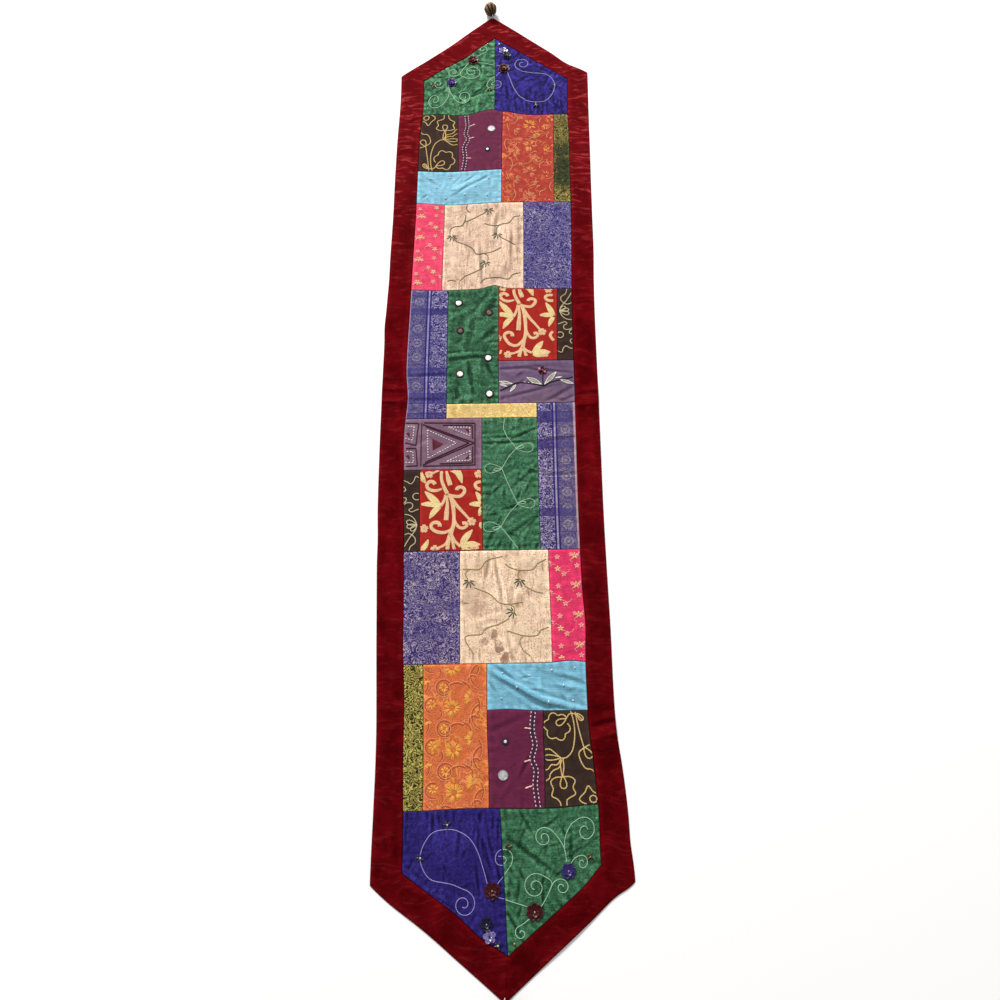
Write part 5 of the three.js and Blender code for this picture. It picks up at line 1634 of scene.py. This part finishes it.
def join(pieces):
    """Several models joined into one."""
    deselect()
    for piece in pieces:
        piece.select_set(True)
    bpy.context.view_layer.objects.active = pieces[0]
    bpy.ops.object.join()
    return pieces[0]


def petal_ring(petals, start, end, wide, lean, height, material):
    """Thin cupped petals in a ring: one is shaped from a disc and the others are spun round."""
    deselect()
    bpy.ops.mesh.primitive_circle_add(vertices=14, radius=1, fill_type="NGON")
    bpy.ops.object.mode_set(mode="EDIT")
    bpy.ops.mesh.inset(thickness=0.25)
    bpy.ops.transform.translate(value=(0, 0, -0.16))
    bpy.ops.mesh.inset(thickness=0.35)
    bpy.ops.transform.translate(value=(0, 0, -0.06))
    bpy.ops.object.mode_set(mode="OBJECT")
    ring = finish_model(material, ((end - start) / 2, wide / 2, wide / 2), (0, -lean, 0),
                        ((start + end) / 2, 0, height))
    bpy.ops.object.mode_set(mode="EDIT")
    bpy.ops.mesh.select_all(action="SELECT")
    bpy.ops.mesh.spin(steps=petals - 1, dupli=True, angle=2 * math.pi * (petals - 1) / petals,
                      center=(0, 0, 0), axis=(0, 0, 1))
    bpy.ops.object.mode_set(mode="OBJECT")
    bpy.ops.object.modifier_add(type="SOLIDIFY")
    bpy.context.object.modifiers[-1].thickness = 0.3 * MM
    bpy.ops.object.modifier_apply(modifier=bpy.context.object.modifiers[-1].name)
    return ring


def ball(radius, place, material, squash=1.0):
    deselect()
    bpy.ops.mesh.primitive_uv_sphere_add(segments=12, ring_count=8, radius=1)
    return finish_model(material, (radius, radius, radius * squash), place=place)


def bugle(length, radius, heading, place, material):
    """A short glass tube with rounded rims."""
    deselect()
    bpy.ops.mesh.primitive_cylinder_add(vertices=10, radius=1, depth=2)
    bpy.ops.object.mode_set(mode="EDIT")
    bpy.ops.mesh.bevel(offset=0.25, segments=2, affect="EDGES")
    bpy.ops.object.mode_set(mode="OBJECT")
    return finish_model(material, (radius, radius, length / 2), (90, 0, heading - 90), place)


def flower(petals, reach, material, heart):
    """A sewn flower: two rings of cupped petals and a bead in the middle."""
    return join([
        petal_ring(petals, 0.14 * reach, reach, 0.78 * reach, 8, 2.0, material),
        petal_ring(petals - 1, 0.06 * reach, 0.64 * reach, 0.52 * reach, 24, 3.2, material),
        ball(0.15 * reach, (0, 0, 3.4), heart),
    ])


def cluster(material, glint):
    """Four bugle beads fanned round a small round one."""
    fan = [bugle(5.2, 1.0, heading, (3.0 * math.cos(math.radians(heading)),
                                     3.0 * math.sin(math.radians(heading)),
                                     1.1), material) for heading in (20, 95, 150, 250)]
    return join(fan + [ball(1.5, (0, 0, 1.3), glint)])


def mirror(radius, material):
    """A round mirror with a softened rim."""
    deselect()
    bpy.ops.mesh.primitive_cylinder_add(vertices=28, radius=1, depth=2)
    bpy.ops.object.mode_set(mode="EDIT")
    bpy.ops.mesh.bevel(offset=0.12, segments=2, affect="EDGES")
    bpy.ops.object.mode_set(mode="OBJECT")
    return finish_model(material, (radius, radius, 0.45), place=(0, 0, 0.35))


def stud(radius, material):
    """A cut crystal, flat where it is sewn down."""
    deselect()
    bpy.ops.mesh.primitive_ico_sphere_add(subdivisions=1, radius=1)
    piece = finish_model(material, (radius, radius, radius * 0.7), place=(0, 0, 0.4 * radius))
    bpy.ops.object.shade_flat()
    return piece


MODELS = {
    "maroon_flower": (flower(7, 12.0, "maroon_sequin", "gold_bead"), "sequins"),
    "purple_flower": (flower(6, 11.0, "purple_sequin", "clear_sequin"), "sequins"),
    "dark_flower": (flower(6, 9.5, "dark_sequin", "clear_sequin"), "sequins"),
    "clear_flower": (flower(5, 9.5, "clear_sequin", "dark_sequin"), "sequins"),
    "pink_flower": (join([flower(5, 8.5, "maroon_sequin", "pink_bead"),
                          ball(3.2, (-4.5, 3.0, 3.2), "pink_bead"),
                           ball(2.2, (2.5, -5.0, 3.0), "pink_bead")]),
                    "sequins"),
    "olive_cluster": (cluster("olive_bead", "crystal"), "sequins"),
    "bronze_cluster": (cluster("bronze_bead", "olive_bead"), "sequins"),
    "gold_bead": (ball(2.2, (0, 0, 1.5), "gold_bead", 0.8), "sequins"),
    "crystal": (stud(1.9, "crystal"), "sequins"),
    "bright_mirror": (mirror(5.3, "bright_mirror"), "mirror_disc"),
    "dull_mirror": (mirror(4.6, "dull_mirror"), "mirror_disc"),
    "plain_mirror": (mirror(6.8, "grey_mirror"), "mirror_disc"),
    "small_mirror": (mirror(2.2, "bright_mirror"), "mirror_disc"),
}

# node: rows of model, place across and along from the middle of its patch, and turn in degrees
# Columns: model, across, along, turn.
TRIMS = {
    "near_violet_point": (("maroon_flower", 56, -41, 10), ("olive_cluster", -8, 48, 20),
                          ("olive_cluster", -47, 5, 80), ("dark_flower", 48, -82, 0),
                          ("clear_flower", 52, -97, 30), ("olive_cluster", 63, -110, 40)),
    "near_green_point": (("purple_flower", 21, -16, 5), ("maroon_flower", -30, -69, 40),
                         ("bronze_cluster", -64, 17, 0), ("bronze_cluster", 57, 0, 60),
                         ("gold_bead", -60, -109, 0)),
    "near_plum": (("plain_mirror", -22, -23, 0), ("small_mirror", -15, 26, 0)),
    "near_turquoise": tuple(("crystal", x, y, 17 * x) for x, y in (
        (-54, 21), (-32, -1), (-11, 17), (25, 25), (62, 26), (43, 1), (57, -22), (-57, -19), (18, -24))),
    "far_green_mirrors": (("bright_mirror", -27, 88, 0), ("dull_mirror", 29, 66, 30),
                          ("dull_mirror", -23, 29, 60),
                          ("bright_mirror", 28, -27, 0), ("bright_mirror", -22, -60, 50),
                          ("bright_mirror", 30, -99, 20)),
    "mauve_twig": (("pink_flower", 11, 21, 20),),
    "far_violet_point": (("maroon_flower", -56, 41, 190), ("olive_cluster", 8, -48, 200),
                         ("olive_cluster", 47, -5, 260), ("dark_flower", -51, 77, 180),
                         ("clear_flower", -57, 90, 210), ("olive_cluster", -66, 108, 220)),
    "far_green_point": (("purple_flower", -13, 7, 185), ("maroon_flower", 30, 69, 220),
                        ("bronze_cluster", 64, -17, 180), ("bronze_cluster", -57, 0, 240),
                        ("gold_bead", 60, 109, 0)),
}

# model: thread and radius of the stitches that hold a mirror's rim down
RIMS = {"bright_mirror": ("rim_brown", 4.9, 7.8), "dull_mirror": ("rim_brown", 3.6, 7.4),
        "small_mirror": ("navy", 2.4, 5.6), "plain_mirror": ("silver", 6.3, 7.9)}


def near_twin(node):
    return node.replace("far_", "near_")


def sew_on(cloth, work):
    """Copies each trim to its places on one piece of cloth, and stitches round the mirrors."""
    pieces = []
    rows = TRIMS.get(cloth.node) or TRIMS.get(near_twin(cloth.node), ())
    turned = cloth.node not in TRIMS and bool(rows)
    work.turned = -1.0 if turned else 1.0
    for number, (kind, across, along, turn) in enumerate(rows):
        model, slot = MODELS[kind]
        at = Vector(cloth.place(*work.on_cloth((across, along))))
        piece = bpy.data.objects.new(f"{cloth.node}_{kind}_{number + 1}", model.data.copy())
        piece.data.transform(Matrix.Translation(at) @ Matrix.Rotation(math.radians(turn + 180 * turned), 4,
                                                                      "Z"))
        bpy.context.scene.collection.objects.link(piece)
        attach(piece, "root")
        pieces.append(piece)
        if kind in RIMS:
            thread, start, end = RIMS[kind]
            work.sprays(thread, (across, along), range(0, 360, 12), start, end, 1.8, lift=0.5)
            work.laid(thread, scallop((across, along), end - 0.8, 1, 0.0), 1.6, 2.4, lift=0.2)
    return pieces


# ---------------------------------------------------------------- the carved beads and their threads

BEAD_RADIUS, BEAD_LENGTH = 13.4, 28.0
BEAD_TILT, BEAD_LEAN = 3.0, 15.0
BEAD_PETALS = 9
THREAD_RADIUS, KNOT_RADIUS = 0.8, 2.6
THREAD_START = np.array((0.0, -5.0, 0.4))  # from the cloth's point, and up from the velvet's face
THREAD_BOW = np.array((0.0, -8.0, 5.6))
THREAD_PLIES, THREAD_TWIST = 3, 5.5


def carved_wood():
    """Dark carved wood, paler on its ribs and darker in its grooves, with a painted highlight towards its
    broad end and painted shade towards the end at the cloth.
    """
    made, net, shader, _ = new_material("carved_bead")
    place = net.vector("SCALE", net.node("TexCoord").outputs["Object"], scale=1 / MM)
    carving, share, _ = net.split(net.node("Attribute", attribute_name="carving").outputs["Vector"])
    # end grows towards the bead's broad end, which lies away from the cloth, and pales the wood there: a
    # painted highlight.
    end = net.between(share, 0.1, 0.6)
    grain = net.noise(net.vector("MULTIPLY", place, (1.0, 0.3, 1.0)), 1.8, 3.0, 0.6)
    uneven = net.math("MULTIPLY_ADD", grain, 1.2, net.math("SUBTRACT", carving, 0.6))
    high = net.math("ADD", net.between(uneven, 0.3, 0.8),
                    net.math("MULTIPLY", end, net.between(grain, 0.35, 0.6)))
    colour = net.mix(high, (0.016, 0.005, 0.001), (0.34, 0.21, 0.1))
    # Darker towards the end at the cloth: painted shade.
    colour = net.shade(colour, net.between(share, -0.9, 0.3, 0.3, 1.0))
    colour = net.shade(colour, net.between(grain, 0.3, 0.7, 0.6, 1.25))
    net.feed(shader.inputs["Base Color"], colour)
    net.feed(shader.inputs["Roughness"], net.between(high, 0.0, 1.0, 0.6, 0.4))
    shader.inputs["Specular IOR Level"].default_value = 0.12
    bump = net.node("Bump", {"Strength": 0.7, "Distance": 0.4 * MM, "Height": grain})
    net.feed(shader.inputs["Normal"], bump.outputs[0])
    return made


def resize_ring(piece, chosen, factor):
    """Scales the chosen vertices of a piece towards its hole's line, Y."""
    bpy.ops.object.mode_set(mode="EDIT")
    bpy.ops.mesh.select_all(action="DESELECT")
    bpy.ops.object.mode_set(mode="OBJECT")
    for vertex, take in zip(piece.data.vertices, chosen):
        vertex.select = bool(take)
    bpy.ops.object.mode_set(mode="EDIT")
    bpy.ops.transform.resize(value=(factor, 1, factor))
    bpy.ops.object.mode_set(mode="OBJECT")


def carved_bead(material):
    """A bead with its hole along Y: a ball drawn long and wider at its far end, with nine petals."""
    deselect()
    segments = 4 * BEAD_PETALS
    bpy.ops.mesh.primitive_uv_sphere_add(segments=segments, ring_count=16, radius=1,
                                         rotation=(math.pi / 2, 0, 0))
    bead = bpy.context.object
    bead.scale = (BEAD_RADIUS * MM, BEAD_RADIUS * MM, BEAD_LENGTH / 2 * MM)
    bpy.ops.object.transform_apply(location=True, rotation=True, scale=True)
    share = np.array([v.co.y for v in bead.data.vertices]) / (BEAD_LENGTH / 2 * MM)
    around = np.array([math.atan2(v.co.z, v.co.x) / (2 * math.pi) * segments for v in bead.data.vertices])
    step = np.round(around).astype(int) % 4
    inside = np.abs(share) < 0.9
    for level in sorted(set(np.round(share[inside], 4))):
        resize_ring(bead, np.abs(share - level) < 0.001, 1 / (1 - 0.12 * level))
    depth = np.where(inside, 0.26 * np.sqrt(np.clip(1 - share**2, 0, 1)), 0)
    for level in sorted(set(np.round(share[inside], 4))):
        ring = np.abs(share - level) < 0.001
        resize_ring(bead, ring & (step == 0), 1 - depth[ring].max())
        resize_ring(bead, ring & (step == 2), 1 + 0.04 * depth[ring].max())
    carving = np.stack([np.where(step == 0, 0.0, np.where(step == 2, 1.0, 0.62)),
                        share, 0 * share], axis=1)
    layer = bead.data.attributes.new("carving", "FLOAT_VECTOR", "POINT")
    layer.data.foreach_set("vector", carving.astype(np.float32).ravel())
    bpy.ops.object.modifier_add(type="SUBSURF")
    bead.modifiers[-1].levels = bead.modifiers[-1].render_levels = 1
    bpy.ops.object.modifier_apply(modifier=bead.modifiers[-1].name)
    bpy.ops.object.shade_smooth()
    bead.data.materials.append(material)
    return bead


def twisted_thread(name, route, knot, material):
    """Three plies laid round a route, and the knot they end in."""
    route = even(route, 0.5)
    run = np.gradient(route, axis=0)
    run /= np.linalg.norm(run, axis=1)[:, None]
    side = np.cross(run, (1.0, 0.0, 0.0))
    side /= np.linalg.norm(side, axis=1)[:, None]
    other = np.cross(run, side)
    along = 0.5 * np.arange(len(route))
    vertices, strand, faces, sides = [], [], [], 6
    for ply in range(THREAD_PLIES):
        angle = 2 * math.pi * (along / THREAD_TWIST + ply / THREAD_PLIES)
        out = side * np.cos(angle)[:, None] + other * np.sin(angle)[:, None]
        spine = route + out * 0.46 * THREAD_RADIUS
        base = len(vertices)
        for k, point in enumerate(spine):
            for j in range(sides):
                turn = 2 * math.pi * j / sides
                vertices.append(point + 0.54 * THREAD_RADIUS * (
                    side[k] * math.cos(turn) + other[k] * math.sin(turn)))
                strand.append((along[k], j / sides, ply / THREAD_PLIES))
        rings = len(spine)
        for k in range(rings - 1):
            for j in range(sides):
                after = (j + 1) % sides
                faces.append((base + k * sides + j, base + k * sides + after,
                              base + (k + 1) * sides + after, base + (k + 1) * sides + j))
        faces.append(tuple(base + j for j in reversed(range(sides))))
        faces.append(tuple(base + (rings - 1) * sides + j for j in range(sides)))
    thread = mesh_piece(name, np.array(vertices) * MM, faces, material, {"strand": np.array(strand)})
    loops = []
    for turn in (0, 60, 120):
        deselect()
        bpy.ops.mesh.primitive_torus_add(major_segments=18, minor_segments=8,
                                         major_radius=0.55 * KNOT_RADIUS * MM,
                                         minor_radius=0.42 * KNOT_RADIUS * MM, location=knot * MM,
                                         rotation=(math.radians(turn), math.radians(35 + turn), 0))
        bpy.ops.object.transform_apply(location=True, rotation=True, scale=True)
        bpy.ops.object.shade_smooth()
        bpy.context.object.data.materials.append(material)
        loops.append(bpy.context.object)
    return join([thread, *loops])


def fit_bead(place, point, turned):
    """Sets a carved bead where the solid one lies, and runs its thread from the cloth's point."""
    lie = (Matrix.Rotation(math.pi * turned, 4, "Z") @ Matrix.Rotation(math.radians(BEAD_LEAN), 4, "Z")
           @ Matrix.Rotation(math.radians(BEAD_TILT), 4, "X"))
    bead = carved_bead(CARVED)
    bead.name = f"{place}_carved_bead"
    bead.data.transform(lie)
    low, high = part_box(f"{place}_bead")
    mine = np.array([v.co for v in bead.data.vertices])
    centre = (low + high) / 2
    move = Vector(np.array(centre) - (mine.min(axis=0) + mine.max(axis=0)) / 2)
    bead.data.transform(Matrix.Translation(move))
    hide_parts(f"{place}_bead")
    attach(bead, "root")
    run = np.array(lie.to_3x3() @ Vector((0, 1, 0)))
    middle = np.array(move) / MM
    entry, leave = middle - run * BEAD_LENGTH / 2, middle + run * BEAD_LENGTH / 2
    x, y, under = lay(*point)
    ahead = np.array((-1.0, -1.0, 1.0) if turned else (1.0, 1.0, 1.0))
    face = np.array((float(x), float(y), float(under) + VELVET_THICK))
    knot = leave + run * KNOT_RADIUS
    route = smooth(face + ahead * THREAD_START, face + ahead * THREAD_BOW, entry - run * 1.2,
                   entry + run * 1.2,
                   middle, knot)
    thread = twisted_thread(f"{place}_twisted_thread", route, knot, THREAD_MATERIALS["blush"])
    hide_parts(f"{place}_bead_thread")


CARVED = carved_wood()


# ---------------------------------------------------------------- making the runner

for number, (node, cloth, corners) in enumerate(cut_pieces()):
    thick = VELVET_THICK if cloth == "velvet" else PATCH_THICK
    piece = Cloth(node, cloth, corners, thick, relief(node, cloth, corners,
                                                      SEEDS_APART * number + FIRST_SEED))
    step = VELVET_STEP if cloth == "velvet" else CREASED_STEP if node in SCATTERS else PATCH_STEP
    sheet = piece.sheet(CLOTH_MATERIALS[cloth], step)
    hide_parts(node)
    pattern = NEEDLEWORK.get(node) or NEEDLEWORK.get(node.replace("far_", "near_"))
    work = Needlework(piece, turned=node.startswith("far_"))
    if pattern:
        pattern(work)
    sewn = sew_on(piece, work)
    work.pieces() + sewn

for model, _ in MODELS.values():
    bpy.data.objects.remove(model)
fit_bead("far", FAR_POINT, False)
fit_bead("near", NEAR_POINT, True)
